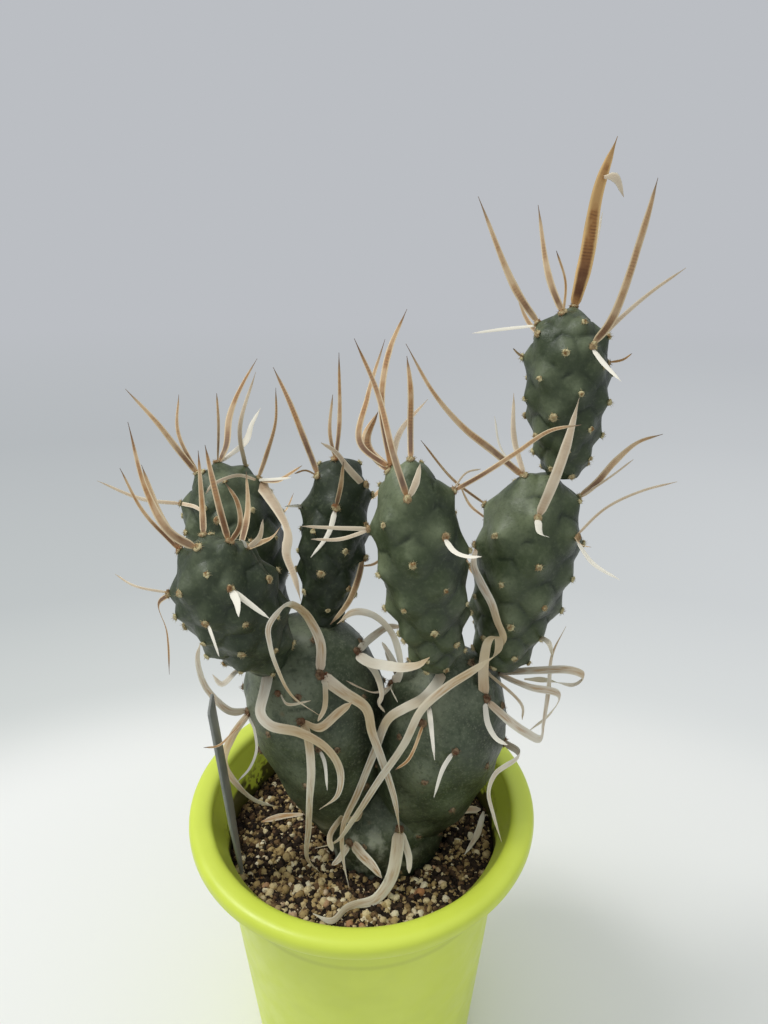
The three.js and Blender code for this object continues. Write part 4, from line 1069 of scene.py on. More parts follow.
def lathe(name: str, outline: Sequence[tuple[float, float]], sides: int) -> bpy.types.Object:
    """Turns an outline about the upright axis into a closed shell.

    Args:
        name: the object's name.
        outline: points of radius and height, starting and ending on the axis.
        sides: how many sides the shell has.

    Returns:
        The object, its faces pointing outwards.
    """
    points = [(0, 0, outline[0][1])]
    for radius, height in outline[1:-1]:
        for k in range(sides):
            angle = 2 * math.pi * k / sides
            points.append((radius * math.cos(angle), radius * math.sin(angle), height))
    points.append((0, 0, outline[-1][1]))
    return face_out(mesh_object(name, points, tube_faces(len(outline) - 2, sides)))


def face_out(piece: bpy.types.Object) -> bpy.types.Object:
    """Points a closed mesh's faces outwards."""
    mesh = bmesh.new()
    mesh.from_mesh(piece.data)
    bmesh.ops.recalc_face_normals(mesh, faces=mesh.faces)
    mesh.to_mesh(piece.data)
    mesh.free()
    return piece


def bore(piece: bpy.types.Object, place: tuple[float, float], radius: float, low: float, high: float,
         sides: int) -> None:
    """Cuts an upright round hole out of a piece.

    Args:
        piece: the piece.
        place: where the hole's axis stands.
        radius: its radius.
        low: the height that it starts at.
        high: the height that it ends at.
        sides: how many sides it has.
    """
    tool = lathe("bore", [(0, low), (radius, low), (radius, high), (0, high)], sides)
    tool.data.transform(Matrix.Translation(Vector((*place, 0)) * MM))
    modifier = piece.modifiers.new("cut", "BOOLEAN")
    modifier.operation = "DIFFERENCE"
    modifier.solver = "EXACT"
    modifier.object = tool
    settled_mesh(piece, modifier)
    bpy.data.objects.remove(tool)


@dataclass
class StemJoint:
    """One stem joint: a surface of revolution about a leaning axis, raised in tubercles.

    It is given by where its axis starts and ends, its largest radius and the height of that, how
    thick its neck is, how many areoles it has, how they crowd towards its top, where their spiral
    starts and which way it turns, how far its tubercles rise, and how much shade it stands in.
    """

    name: str
    base: Sequence[float]
    tip: Sequence[float]
    radius: float
    widest: float
    neck: float
    areoles: int
    crowding: float
    first: float
    hand: int
    lump: float
    shade: float = 0.0
    below: float = 0.85
    above: float = 2.2
    crease: float = 0.6
    old_crease: float = 0.35
    fold_width: float = 1.6
    spacing: float = 4.6
    sides: int = 144
    rings: int = 100
    samples: int = 600
    nudge: float = 0.002
    sites: list[Site] = field(default_factory=list)
    spots: list[Vector] = field(default_factory=list)
    tufts: list[Site] = field(default_factory=list)
    bearing: int = 0
    tubercle: float = 0.0

    def __post_init__(self) -> None:
        """Works out the axis and the two directions across it."""
        self.foot = Vector(self.base)
        self.axis = Vector(self.tip) - self.foot
        self.length = self.axis.length
        self.axis.normalize()
        self.right = (Vector((1, 0, 0)) - self.axis * self.axis.x).normalized()
        self.back = self.axis.cross(self.right)
        self.old = self.lump < 1
        if self.old:
            self.crease = self.old_crease

    def radius_at(self, height: float) -> float:
        """The smooth skin's radius at a height from 0 to 1."""
        if height < self.widest:
            swell = math.sin(math.pi / 2 * max(height, 0.0) / self.widest) ** self.below
            return self.radius * (self.neck + (1 - self.neck) * swell)
        share = (min(height, 1.0) - self.widest) / (1 - self.widest)
        return self.radius * math.sqrt(max(0.0, 1 - share ** self.above))

    def radial(self, azimuth: float) -> Vector:
        """Straight out from the axis at an azimuth."""
        return self.right * math.cos(azimuth) + self.back * math.sin(azimuth)

    def normal_at(self, azimuth: float, height: float) -> Vector:
        """Straight out of the smooth skin."""
        high, low = min(height + self.nudge, 1.0), max(height - self.nudge, 0.0)
        slope = (self.radius_at(high) - self.radius_at(low)) / ((high - low) * self.length)
        return (self.radial(azimuth) - self.axis * slope).normalized()

    def point(self, azimuth: float, height: float, lift: float = 0.0) -> Vector:
        """A point of the smooth skin, lifted off it."""
        place = self.foot + self.axis * (height * self.length) + self.radial(azimuth) * self.radius_at(height)
        return place + self.normal_at(azimuth, height) * lift

    def locate(self, point: Vector) -> Site:
        """Azimuth and height of the skin beside a point."""
        arm = point - self.foot
        height = max(0.0, min(1.0, arm.dot(self.axis) / self.length))
        return math.atan2(arm.dot(self.back), arm.dot(self.right)), height

    def clearance(self, point: Vector) -> float:
        """About how far a point lies outside the skin."""
        arm = point - self.foot
        along = arm.dot(self.axis)
        height = max(0.0, min(1.0, along / self.length))
        aside = (arm - self.axis * along).length - self.radius_at(height)
        beyond = abs(along - height * self.length)
        return math.hypot(beyond, max(aside, 0.0)) if beyond > 0 else aside

    def spiral(self, taken: Sequence[Vector] = ()) -> list[Site]:
        """The spiral of areoles, without those beside a place that is taken."""
        sites = []
        for k in range(self.areoles):
            azimuth = math.radians(self.first + self.hand * GOLDEN * k)
            height = ((k + 0.5) / self.areoles) ** self.crowding
            spot = self.point(azimuth, height)
            if all((own - spot).length > self.spacing for own in taken):
                sites.append((azimuth, height))
        return sites

    def heights(self) -> list[float]:
        """Heights of the mesh's rings, evenly spaced along the skin."""
        fine = [1 - (1 - k / self.samples) ** 2 for k in range(self.samples + 1)]
        run = [0.0]
        for low, high in zip(fine, fine[1:]):
            run.append(run[-1] + self.slant(low, high))
        heights = []
        place = 0
        for ring in range(self.rings):
            goal = run[-1] * ring / self.rings
            while run[place + 1] < goal:
                place += 1
            share = (goal - run[place]) / (run[place + 1] - run[place])
            heights.append(mix(fine[place], fine[place + 1], share))
        return heights

    def slant(self, low: float, high: float) -> float:
        """Length of the skin between two heights."""
        return math.hypot((high - low) * self.length, self.radius_at(high) - self.radius_at(low))

    def area(self) -> float:
        """Area of the smooth skin."""
        heights = self.heights()
        return sum(math.pi * (self.radius_at(low) + self.radius_at(high)) * self.slant(low, high)
                   for low, high in zip(heights, heights[1:]))

    def place_areoles(self, bearing: list[Site]) -> None:
        """Takes the sites of the areoles that bear spines, and adds the bare ones."""
        self.bearing = len(bearing)
        self.sites = bearing + self.spiral([self.point(*site) for site in bearing])
        self.spots = [self.point(*site) for site in self.sites]
        self.tubercle = math.sqrt(self.area() / len(self.sites) / (2 * math.sqrt(3))) * PEAK_REACH

    def raised_at(self, azimuth: float, height: float) -> float:
        """How far the tubercles raise the skin at a place."""
        spot = self.point(azimuth, height)
        share = min(min((own - spot).length for own in self.spots) / self.tubercle, 1.0)
        hill = (1 - PEAK) * (0.5 + 0.5 * math.cos(math.pi * share)) + PEAK * (1 - share) ** PEAK_POWER
        return (hill * (self.lump + self.crease) - self.crease) * smooth(0.0, 0.07, height)

    def pushed_out(self, point: Vector, margin: float) -> Vector:
        """Moves a point out of the skin, where it is nearer to it than a margin."""
        if self.clearance(point) > self.lump + margin:
            return point
        site = self.locate(point)
        lack = self.raised_at(*site) + margin - self.clearance(point)
        return point + self.normal_at(*site) * lack if lack > 0 else point

    def fold_at(self, point: Vector) -> float:
        """How near a point is to the fold that runs over the top of an areole's tubercle."""
        arms = sorted((point - spot for spot in self.spots), key=lambda arm: arm.length)[:2]
        line = smooth(self.fold_width, 0, arms[1].length - arms[0].length)
        over = max(arm.dot(self.axis) / max(arm.length, 0.1) for arm in arms)
        return line * smooth(0.45, 0.85, over)

    def skin(self) -> bpy.types.Object:
        """The smooth skin as a closed mesh.

        Returns:
            The object. Its points carry how far they are above the neck, how near they are to the
            fold between two tubercles, and the joint's shade.
        """
        rows = [(height, 2 * math.pi * k / self.sides)
                for height in self.heights() for k in range(self.sides)]
        points = [self.foot, *(self.point(azimuth, height) for height, azimuth in rows)]
        points.append(self.foot + self.axis * self.length)
        piece = mesh_object(f"joint_{self.name}_skin", points, tube_faces(self.rings, self.sides))
        carry(piece, "rise", [0.0, *(height for height, azimuth in rows), 1.0])
        carry(piece, "fold", [self.fold_at(point) for point in points])
        carry(piece, "shade", [self.shade] * len(points))
        return piece


JOINTS = (
    StemJoint("base", (8, 2, 84), (8, 3, 121), 21.4, 0.4, 0.93, 20, 1, 40, 1, 0.5, 0.3),
    StemJoint("right", (17.5, 1, 99), (33, 3, 173.5), 21.6, 0.58, 0.4, 34, 1, 80, 1, 0.8),
    StemJoint("left", (-5, 2, 98), (-21, 8, 183), 23, 0.66, 0.36, 34, 1, 20, -1, 0.8),
    StemJoint("center_front", (24.5, -8, 177), (14, -12, 243.5), 12.8, 0.6, 0.46, 41, 1.4, 96, 1, 1.7),
    StemJoint("right_upper", (45.5, 4, 168.5), (56, 8, 233.5), 15.3, 0.64, 0.42, 41, 1.1, 24, -1, 1.7),
    StemJoint("center_back", (-13, 8, 177.5), (-5, 20, 234.5), 10.7, 0.6, 0.35, 38, 1.1, 300, -1, 1.5, 0.85),
    StemJoint("left_front", (-28, -8, 178), (-41, -26, 225), 14, 0.58, 0.45, 39, 0.8, 18, 1, 1.7, 0.6),
    StemJoint("left_back", (-34, 14, 170), (-47, 30, 227.5), 15.9, 0.62, 0.4, 41, 0.8, 198, -1, 1.7, 0.3),
    StemJoint("top", (61.5, 8, 233), (59.5, 12, 281), 11.7, 0.62, 0.38, 38, 1.1, 60, -1, 1.5, 0.35,
              crease=0.3),
)
JOINT = {joint.name: joint for joint in JOINTS}


@dataclass
class GrownBlade:
    """A blade in its place: the joint and bunch that it belongs to, its root and its facing."""

    joint: StemJoint
    bunch: str
    blade: Blade
    site: Site
    facing: Vector
    points: list[Vector]


@dataclass
class Spines:
    """All papery spines: those that show, and those on the backs of the joints."""

    to_viewer: Vector = field(default_factory=lambda: Vector((0, -0.9, 0.43)))
    face_out: float = 0.4
    root_sink: float = 1.0
    seed: int = 5
    back_facing: float = 0.5
    back_low: float = 0.3
    back_high: float = 0.85
    back_every: int = 2
    clear: float = 4.0
    straight_lengths: tuple[float, float] = (14, 24)
    curled_lengths: tuple[float, float] = (28, 42)
    spacing: float = 0.9
    follow: float = 0.24
    scrap_lift: float = 1.5
    sharp: float = math.radians(45)
    snap: float = 3.5
    apart: float = 3.0
    skin_sink: float = 0.6
    skin_gap: float = 0.35
    gap_by_width: float = 0.12
    rooted: float = 3.0
    grown: list[GrownBlade] = field(default_factory=list)

    straight = Blade(TAN, (1.8, 2.2, 1.5, 0.6), ())
    curled = Blade(OLD, (3, 3.2, 2.8, 2, 0.8), (
        (0, 0, 0), (0.28, 0.04, 0.1), (0.34, 0.16, -0.12), (0.24, 0.22, -0.42), (0.2, 0.06, -0.72)))
    sizes = {"Thinness": 0.06, "Arch": 0.1, "Flutter": 0.5, "Flutter scale": 110.0,
             "Twist": 1.2, "Twist scale": 35.0}

    def grow(self) -> None:
        """Roots the blades that show, then adds those behind and the small ones."""
        for name, bunches in SPINES.items():
            joint = JOINT[name]
            for bunch, blades in bunches.items():
                for blade in blades:
                    own = blade.path[0] if bunch == "skin" else blades[0].path[0]
                    site = joint.locate(Vector(own))
                    outward = joint.normal_at(*site) * self.face_out
                    facing = (outward + self.to_viewer * (1 - self.face_out)).normalized()
                    self.root(joint, bunch, blade, site, facing, joint.lump)
        for joint in JOINTS:
            self.grow_behind(joint)
        for joint in JOINTS:
            joint.place_areoles(self.areoles_of(joint))
        self.grow_small()

    def root(self, joint: StemJoint, bunch: str, blade: Blade, site: Site, facing: Vector,
             lift: float) -> None:
        """Places a blade that runs through its own path, from a little under the raised skin."""
        root = joint.point(*site, lift - self.root_sink)
        points = [root, *(Vector(point) for point in blade.path[1:])]
        self.grown.append(GrownBlade(joint, bunch, blade, site, facing, points))

    def grow_small(self) -> None:
        """Roots the small spines, each in the nearest areole or in a tuft of its own."""
        for name, blades in SMALL.items():
            joint = JOINT[name]
            for blade in blades:
                place = Vector(blade.path[0])
                site = min(joint.sites, key=lambda own: (joint.point(*own) - place).length)
                if (joint.point(*site) - place).length > self.snap:
                    site = joint.locate(place)
                    joint.tufts.append(site)
                self.root(joint, "small", blade, site, self.to_viewer, joint.raised_at(*site))

    def grow_behind(self, joint: StemJoint) -> None:
        """Adds the spines on a joint's back that keep clear of everything."""
        draws = Draws(self.seed + joint.areoles)
        behind = [site for site in joint.spiral()
                  if joint.normal_at(*site).y > self.back_facing and self.back_low < site[1] < self.back_high]
        curls = joint.name in ("left", "right")
        for site in behind[::self.back_every]:
            root = joint.point(*site, joint.lump - self.root_sink)
            facing = joint.normal_at(*site)
            if curls:
                points = self.curled_path(root, facing, draws)
            else:
                points = self.straight_path(root, facing, joint.axis, draws)
            if self.keeps_clear(joint, points):
                blade = self.curled if curls else self.straight
                self.grown.append(GrownBlade(joint, "behind", blade, site, facing, points))

    def straight_path(self, root: Vector, out: Vector, axis: Vector, draws: Draws) -> list[Vector]:
        """Out from the skin and a little up along the joint."""
        length = ramp(self.straight_lengths, draws.next())
        bend = root + out * (length * 0.5) + axis * (length * 0.1)
        return [root, bend, root + out * (length * 0.85) + axis * (length * 0.4)]

    def curled_path(self, root: Vector, out: Vector, draws: Draws) -> list[Vector]:
        """Out from the skin, over sideways and down."""
        side = out.cross(Vector((0, 0, 1))).normalized()
        length = ramp(self.curled_lengths, draws.next())
        turn = -1 if draws.next() < 0.5 else 1
        return [root + out * (away * length) + side * (aside * turn * length) + Vector((0, 0, up * length))
                for away, aside, up in self.curled.path]

    def keeps_clear(self, joint: StemJoint, points: Sequence[Vector]) -> bool:
        """Whether a new spine stays off the other joints, spines, the soil and the rim."""
        for point in points[1:]:
            if any(other.clearance(point) <= self.clear for other in JOINTS if other is not joint):
                return False
            if any((place - point).length <= self.clear * 1.5 for own in self.grown for place in own.points):
                return False
            outside = math.hypot(point.x, point.y) >= RIM_INNER - self.clear
            if point.z <= (POT_HEIGHT if outside else SOIL_LEVEL) + self.clear:
                return False
        return True

    def areoles_of(self, joint: StemJoint) -> list[Site]:
        """A joint's areoles that bear spines."""
        sites: list[Site] = []
        for own in self.grown:
            if own.joint is joint:
                spot = joint.point(*own.site)
                if all((joint.point(*site) - spot).length >= self.apart for site in sites):
                    sites.append(own.site)
        return sites

    def recipe(self, material: bpy.types.Material) -> GeometryRecipe:
        """Geometry nodes that sweep a thin arched section along lines of points."""
        steps = GeometryRecipe("papery_ribbon")
        thin, arch, flutter, scale, twist, twist_scale = steps.sizes(*self.sizes)
        x, y = steps.parts(steps.place)[:2]
        ring =steps.get("GeometryNodeCurvePrimitiveCircle", {"Resolution": 12, "Radius": 1.0})
        profile = steps.get("GeometryNodeSetPosition", {
            "Geometry": steps.store(ring, "across", x), "Position": steps.vector(y * thin - x * x * arch, x)})
        facing, half = steps.read("facing", "FLOAT_VECTOR"), steps.read("half")
        lines = steps.get("GeometryNodeMeshToCurve", {0: steps.start})
        turned = steps.get("GeometryNodeSetCurveNormal", {0: lines, "Normal": facing}, mode="FREE")
        angle = (steps.noise(twist_scale, 1.0) - 0.5) * steps.read("along").span(0.0, 0.25) * twist
        twisted = steps.get("GeometryNodeSetCurveTilt", {0: turned, "Tilt": angle})
        swept = steps.get("GeometryNodeCurveToMesh", {
            "Curve": twisted, "Profile Curve": profile, "Scale": half, "Fill Caps": True})
        wave = (steps.noise(scale, 2.0) - 0.5) * flutter * half
        return steps.finish(steps.moved(swept, facing, wave), material)

    def off_skin(self, point: Vector, run: float, width: float) -> Vector:
        """Holds a blade's point just outside every joint, from a little way past its root."""
        outside = self.skin_gap + self.gap_by_width * width
        margin = mix(-self.skin_sink, outside, smooth(0.0, self.rooted, run))
        for joint in JOINTS:
            point = joint.pushed_out(point, margin)
        return point

    def lines(self, name: str, blades: Sequence[tuple[Blade, list[Vector], Vector]]) -> bpy.types.Object:
        """Lines of points for the ribbons, each point with its width, facing and finish.

        Args:
            name: the object's name.
            blades: each blade with its placed points and the way that it faces.

        Returns:
            The object, made of edges.
        """
        points: list[Vector] = []
        edges: list[tuple[int, int]] = []
        facings: list[float] = []
        numbers: dict[str, list[float]] = {
            key: [] for key in ("half", "along", "run", "brown", "bands", "tip", "worn")}
        for blade, path, facing in blades:
            places = [(share, self.off_skin(point, (point - path[0]).length, ramp(blade.widths, share)))
                      for share, point in curve_points(path, self.spacing)]
            normal = facing.copy()
            run = 0.0
            for k, (share, point) in enumerate(places):
                ahead = places[min(k + 1, len(places) - 1)][1]
                behind = places[max(k - 1, 0)][1]
                step = (point - behind).length
                run += step
                tangent = (ahead - behind).normalized()
                normal += facing * (self.follow * step)
                normal = (normal - tangent * normal.dot(tangent)).normalized()
                taper = (1 - 0.75 * smooth(0.85, 1.0, share)) * mix(0.5, 1.0, smooth(0.4, 3.0, run))
                if k:
                    edges.append((len(points) - 1, len(points)))
                points.append(point)
                facings.extend(normal)
                values = (ramp(blade.widths, share) / 2 * taper * MM, share, run, *blade.paper.value)
                for row, value in zip(numbers.values(), values):
                    row.append(value)
        piece = mesh_object(name, points, edges=edges)
        for key, row in numbers.items():
            carry(piece, key, row)
        carry(piece, "facing", facings, True)
        return piece

    def build(self, material: bpy.types.Material) -> None:
        """Makes every bunch a piece, the single spines of each joint one piece, and the scraps one."""
        recipe = self.recipe(material)
        bunches: dict[str, list] = {}
        for own in self.grown:
            loose = own.bunch in ("skin", "behind", "small")
            name = f"single_spines_{own.joint.name}" if loose else f"spines_{own.joint.name}_{own.bunch}"
            bunches.setdefault(name, []).append((own.blade, own.points, own.facing))
        for name, blades in bunches.items():
            piece = recipe.run(self.lines(f"{name}_paper", blades), self.sizes)
            piece.data.set_sharp_from_angle(angle=self.sharp)
            settle(piece, "papery_spine", *([] if name.startswith("single") else [name]))
        scraps = [(TORN, [Vector(point) for point in TORN.path], self.to_viewer)]
        for blade in FALLEN:
            points = [Vector((x, y, soil_height(x, y) + self.scrap_lift)) for x, y in blade.path]
            scraps.append((blade, points, Vector((0, 0, 1))))
        settle(recipe.run(self.lines("fallen_spines", scraps), self.sizes), "papery_spine")


@dataclass(frozen=True)
class Age:
    """What differs between the young joints and the old ones, sizes in millimetres."""

    skin: SkinFinish
    wool: WoolFinish
    fold_depth: float
    areole_radius: float
    bristle: float


@dataclass
class Stem:
    """The skins of the nine joints, and the areoles on them."""

    wool_sink: float = 0.1
    wrinkle: float = 0.5
    bristles: float = 4e6
    clean: float = 0.6
    rusty: float = 0.55
    # skin colours, in order: crease (painted shade), body, bloom with painted highlight, speck
    young: Age = Age(
        SkinFinish("young_skin", (0.014, 0.024, 0.01), (0.05, 0.07, 0.027), (0.2, 0.235, 0.13),
                   (0.03, 0.04, 0.02), 0.2, 0.0),
        WoolFinish("young_wool", (0.62, 0.55, 0.31), (0.26, 0.14, 0.05), (0.24, 0.1, 0.04)), 0.45, 0.97, 0.9)
    old: Age = Age(
        SkinFinish("old_skin", (0.02, 0.027, 0.013), (0.06, 0.08, 0.043), (0.2, 0.225, 0.145),
                   (0.2, 0.22, 0.14), 0.4, 0.5),
        WoolFinish("old_wool", (0.3, 0.22, 0.13), (0.11, 0.06, 0.035), (0.14, 0.05, 0.025)), 0.15, 1.15, 1.2)

    def skin_recipe(self, material: bpy.types.Material) -> GeometryRecipe:
        """Geometry nodes that raise the skin around each areole, down to creases between them."""
        steps = GeometryRecipe(f"tubercles_{material.name}")
        areoles, = steps.sizes("Areoles", kind="Object")
        spacing, lump, crease, wrinkle, depth = steps.sizes(
            "Spacing", "Lump", "Crease", "Wrinkle", "Fold depth")
        marks = steps.get("GeometryNodeObjectInfo", {"Object": areoles}, "Geometry")
        near = steps.get("GeometryNodeProximity", {0: marks}, "Distance", target_element="POINTS")
        held = steps.math("MINIMUM", steps.math("DIVIDE", near, spacing), 1.0)
        soft = steps.math("MULTIPLY_ADD", steps.math("COSINE", held * math.pi), 0.5, 0.5)
        hill = soft * (1 - PEAK) + steps.math("POWER", 1.0 - held, PEAK_POWER) * PEAK
        raised = (hill * (lump + crease) - crease) * steps.read("rise").span(0.0, 0.07)
        rippled = raised + (steps.noise(150.0, 4.0) - 0.5) * wrinkle
        folded = rippled - steps.read("fold") * depth * steps.noise(85.0, 2.0).span(0.42, 0.6)
        marked = steps.store(steps.start, "hill", hill)
        return steps.finish(steps.moved(marked, steps.normal, folded), material)

    def wool_recipe(self, material: bpy.types.Material) -> GeometryRecipe:
        """Geometry nodes that set a felt cushion and short bristles on each areole."""
        steps = GeometryRecipe(f"areoles_{material.name}")
        radius, length, density = steps.sizes("Radius", "Bristle length", "Bristle density")
        plain = steps.get("GeometryNodeMeshIcoSphere", {"Radius": 1.0, "Subdivisions": 3}, "Mesh")
        ball = steps.store(plain, "core", steps.parts(steps.place)[2])
        outward = steps.read("outward", "FLOAT_VECTOR")
        upright = steps.get("FunctionNodeAlignRotationToVector", {"Vector": outward}, axis="Z")
        sized = radius * steps.math("MULTIPLY_ADD", steps.read("rust"), 0.3, steps.random(0.75, 1.1, 3))
        flat = steps.vector(sized, sized, sized * 0.5)
        cushions = steps.real(steps.copies(steps.start, ball, upright, Scale=flat))
        cloud = (steps.noise(800.0) - 0.5) * 1.6 * radius
        felted = steps.moved(cushions, steps.normal, cloud)
        points, turn = steps.scatter(felted, density, 7)
        hair = steps.get("GeometryNodeMeshCone", {
            "Vertices": 3, "Radius Top": 0.0, "Radius Bottom": 0.07, "Depth": 1.0}, "Mesh")
        lean = steps.random((-0.7, -0.7, 0.0), (0.7, 0.7, 0.0), 0, "FLOAT_VECTOR")
        tilt = steps.get("FunctionNodeEulerToRotation", {0: lean})
        turned = steps.get("FunctionNodeRotateRotation", {0: turn, 1: tilt}, rotation_space="LOCAL")
        hairs = steps.get("GeometryNodeScaleInstances", {
            0: steps.copies(points, hair, turned), "Scale": length * steps.random(0.5, 1.2, 9)})
        joined = steps.add("GeometryNodeJoinGeometry", {0: hairs})
        steps.fill(joined.inputs[0], felted)
        return steps.finish(Value(steps, joined.outputs[0]), material)

    def areole_points(self, joint: StemJoint) -> bpy.types.Object:
        """Points on the raised skin at a joint's areoles and tufts.

        Args:
            joint: the joint.

        Returns:
            The object. Each point carries its way out of the skin, and how rusty its wool is:
            more where it bears spines.
        """
        sites = joint.sites + joint.tufts
        points = [joint.point(*site, joint.raised_at(*site) - self.wool_sink) for site in sites]
        piece = mesh_object(f"areoles_{joint.name}", points)
        carry(piece, "outward", [value for site in sites for value in joint.normal_at(*site)], True)
        draws = Draws(len(points))
        bare = range(joint.bearing, len(joint.sites))
        carry(piece, "rust", [max(0.0, draws.next() - self.clean) if k in bare
                              else mix(self.rusty, 1.0, draws.next()) for k in range(len(points))])
        return piece

    def build(self) -> None:
        """Makes the skin and the areoles of each joint."""
        recipes = {age.skin.name: (self.skin_recipe(age.skin.make()), self.wool_recipe(age.wool.make()))
                   for age in (self.old, self.young)}
        for joint in JOINTS:
            age = self.old if joint.old else self.young
            skin_recipe, wool_recipe = recipes[age.skin.name]
            marks = mesh_object(f"marks_{joint.name}", joint.spots)
            skin = skin_recipe.run(joint.skin(), {
                "Areoles": marks, "Spacing": joint.tubercle * MM, "Lump": joint.lump * MM,
                "Crease": joint.crease * MM, "Wrinkle": self.wrinkle * MM, "Fold depth": age.fold_depth * MM})
            bpy.data.objects.remove(marks)
            settle(skin, "cactus_skin", f"joint_{joint.name}")
            settle(wool_recipe.run(self.areole_points(joint), {
                "Radius": age.areole_radius * MM, "Bristle length": age.bristle * MM,
                "Bristle density": self.bristles}), "papery_spine")


@dataclass
class Pot:
    """Round moulded pot with a thick rolled rim and drain holes."""

    foot_radius: float = 37
    foot_round: float = 4.5
    low_radius: float = 42.2
    high_radius: float = 50.1
    wall: float = 1.8
    floor: float = 3
    rim_radius: float = 60
    rim_height: float = 6.8
    rim_square: float = 0.8
    drain_radius: float = 3
    drain_ring: float = 24
    drains: int = 5
    sides: int = 192
    rim_steps: int = 34
    wall_steps: int = 12
    sharp: float = math.radians(40)
    finish: PotFinish = PotFinish()

    def wall_radius(self, z: float) -> float:
        """Outer radius of the wall at a height."""
        share = (z - self.foot_round) / (POT_HEIGHT - self.rim_height - self.foot_round)
        return mix(self.low_radius, self.high_radius, share)

    def outline(self) -> list[tuple[float, float]]:
        """The pot's section, up the outside, over the rim and down the inside."""
        half = (self.rim_radius - RIM_INNER) / 2
        centre, middle = self.rim_radius - half, POT_HEIGHT - self.rim_height / 2
        ledge = POT_HEIGHT - self.rim_height
        points = [(0, 0), (30, 0), (self.foot_radius, 0)]
        corner = self.wall_radius(self.foot_round)
        for k in range(1, 8):
            angle = math.pi / 2 * k / 8
            points.append((mix(self.foot_radius, corner, math.sin(angle)),
                           self.foot_round * (1 - math.cos(angle))))
        outside = [mix(self.foot_round, ledge - 2.4, k / self.wall_steps) for k in range(self.wall_steps + 1)]
        points += [(self.wall_radius(z), z) for z in outside]
        points.append((self.wall_radius(ledge - 1.4) + 0.5, ledge - 1.4))
        points.append((centre - 1.4, ledge - 1.2))
        for k in range(self.rim_steps + 1):
            angle = mix(-3, 8, k / self.rim_steps) * math.pi / 8
            across, up = (math.copysign(abs(value) ** self.rim_square, value)
                          for value in (math.cos(angle), math.sin(angle)))
            points.append((centre + half * across, middle + self.rim_height / 2 * up))
        inner = self.floor + self.foot_round
        inside = [mix(ledge - 2, inner, k / self.wall_steps) for k in range(self.wall_steps + 1)]
        points += [(self.wall_radius(z) - self.wall, z) for z in inside]
        points += [(self.foot_radius - self.wall + 0.6, self.floor), (0, self.floor)]
        return points

    def build(self) -> None:
        """Makes the pot."""
        pot = lathe("pot_shell", self.outline(), self.sides)
        for k in range(self.drains):
            angle = 2 * math.pi * k / self.drains
            place = (self.drain_ring * math.cos(angle), self.drain_ring * math.sin(angle))
            bore(pot, place, self.drain_radius, -2, 2 * self.floor, 32)
        dress(pot, self.finish.make())
        pot.data.set_sharp_from_angle(angle=self.sharp)
        settle(pot, "pot_plastic", "pot")


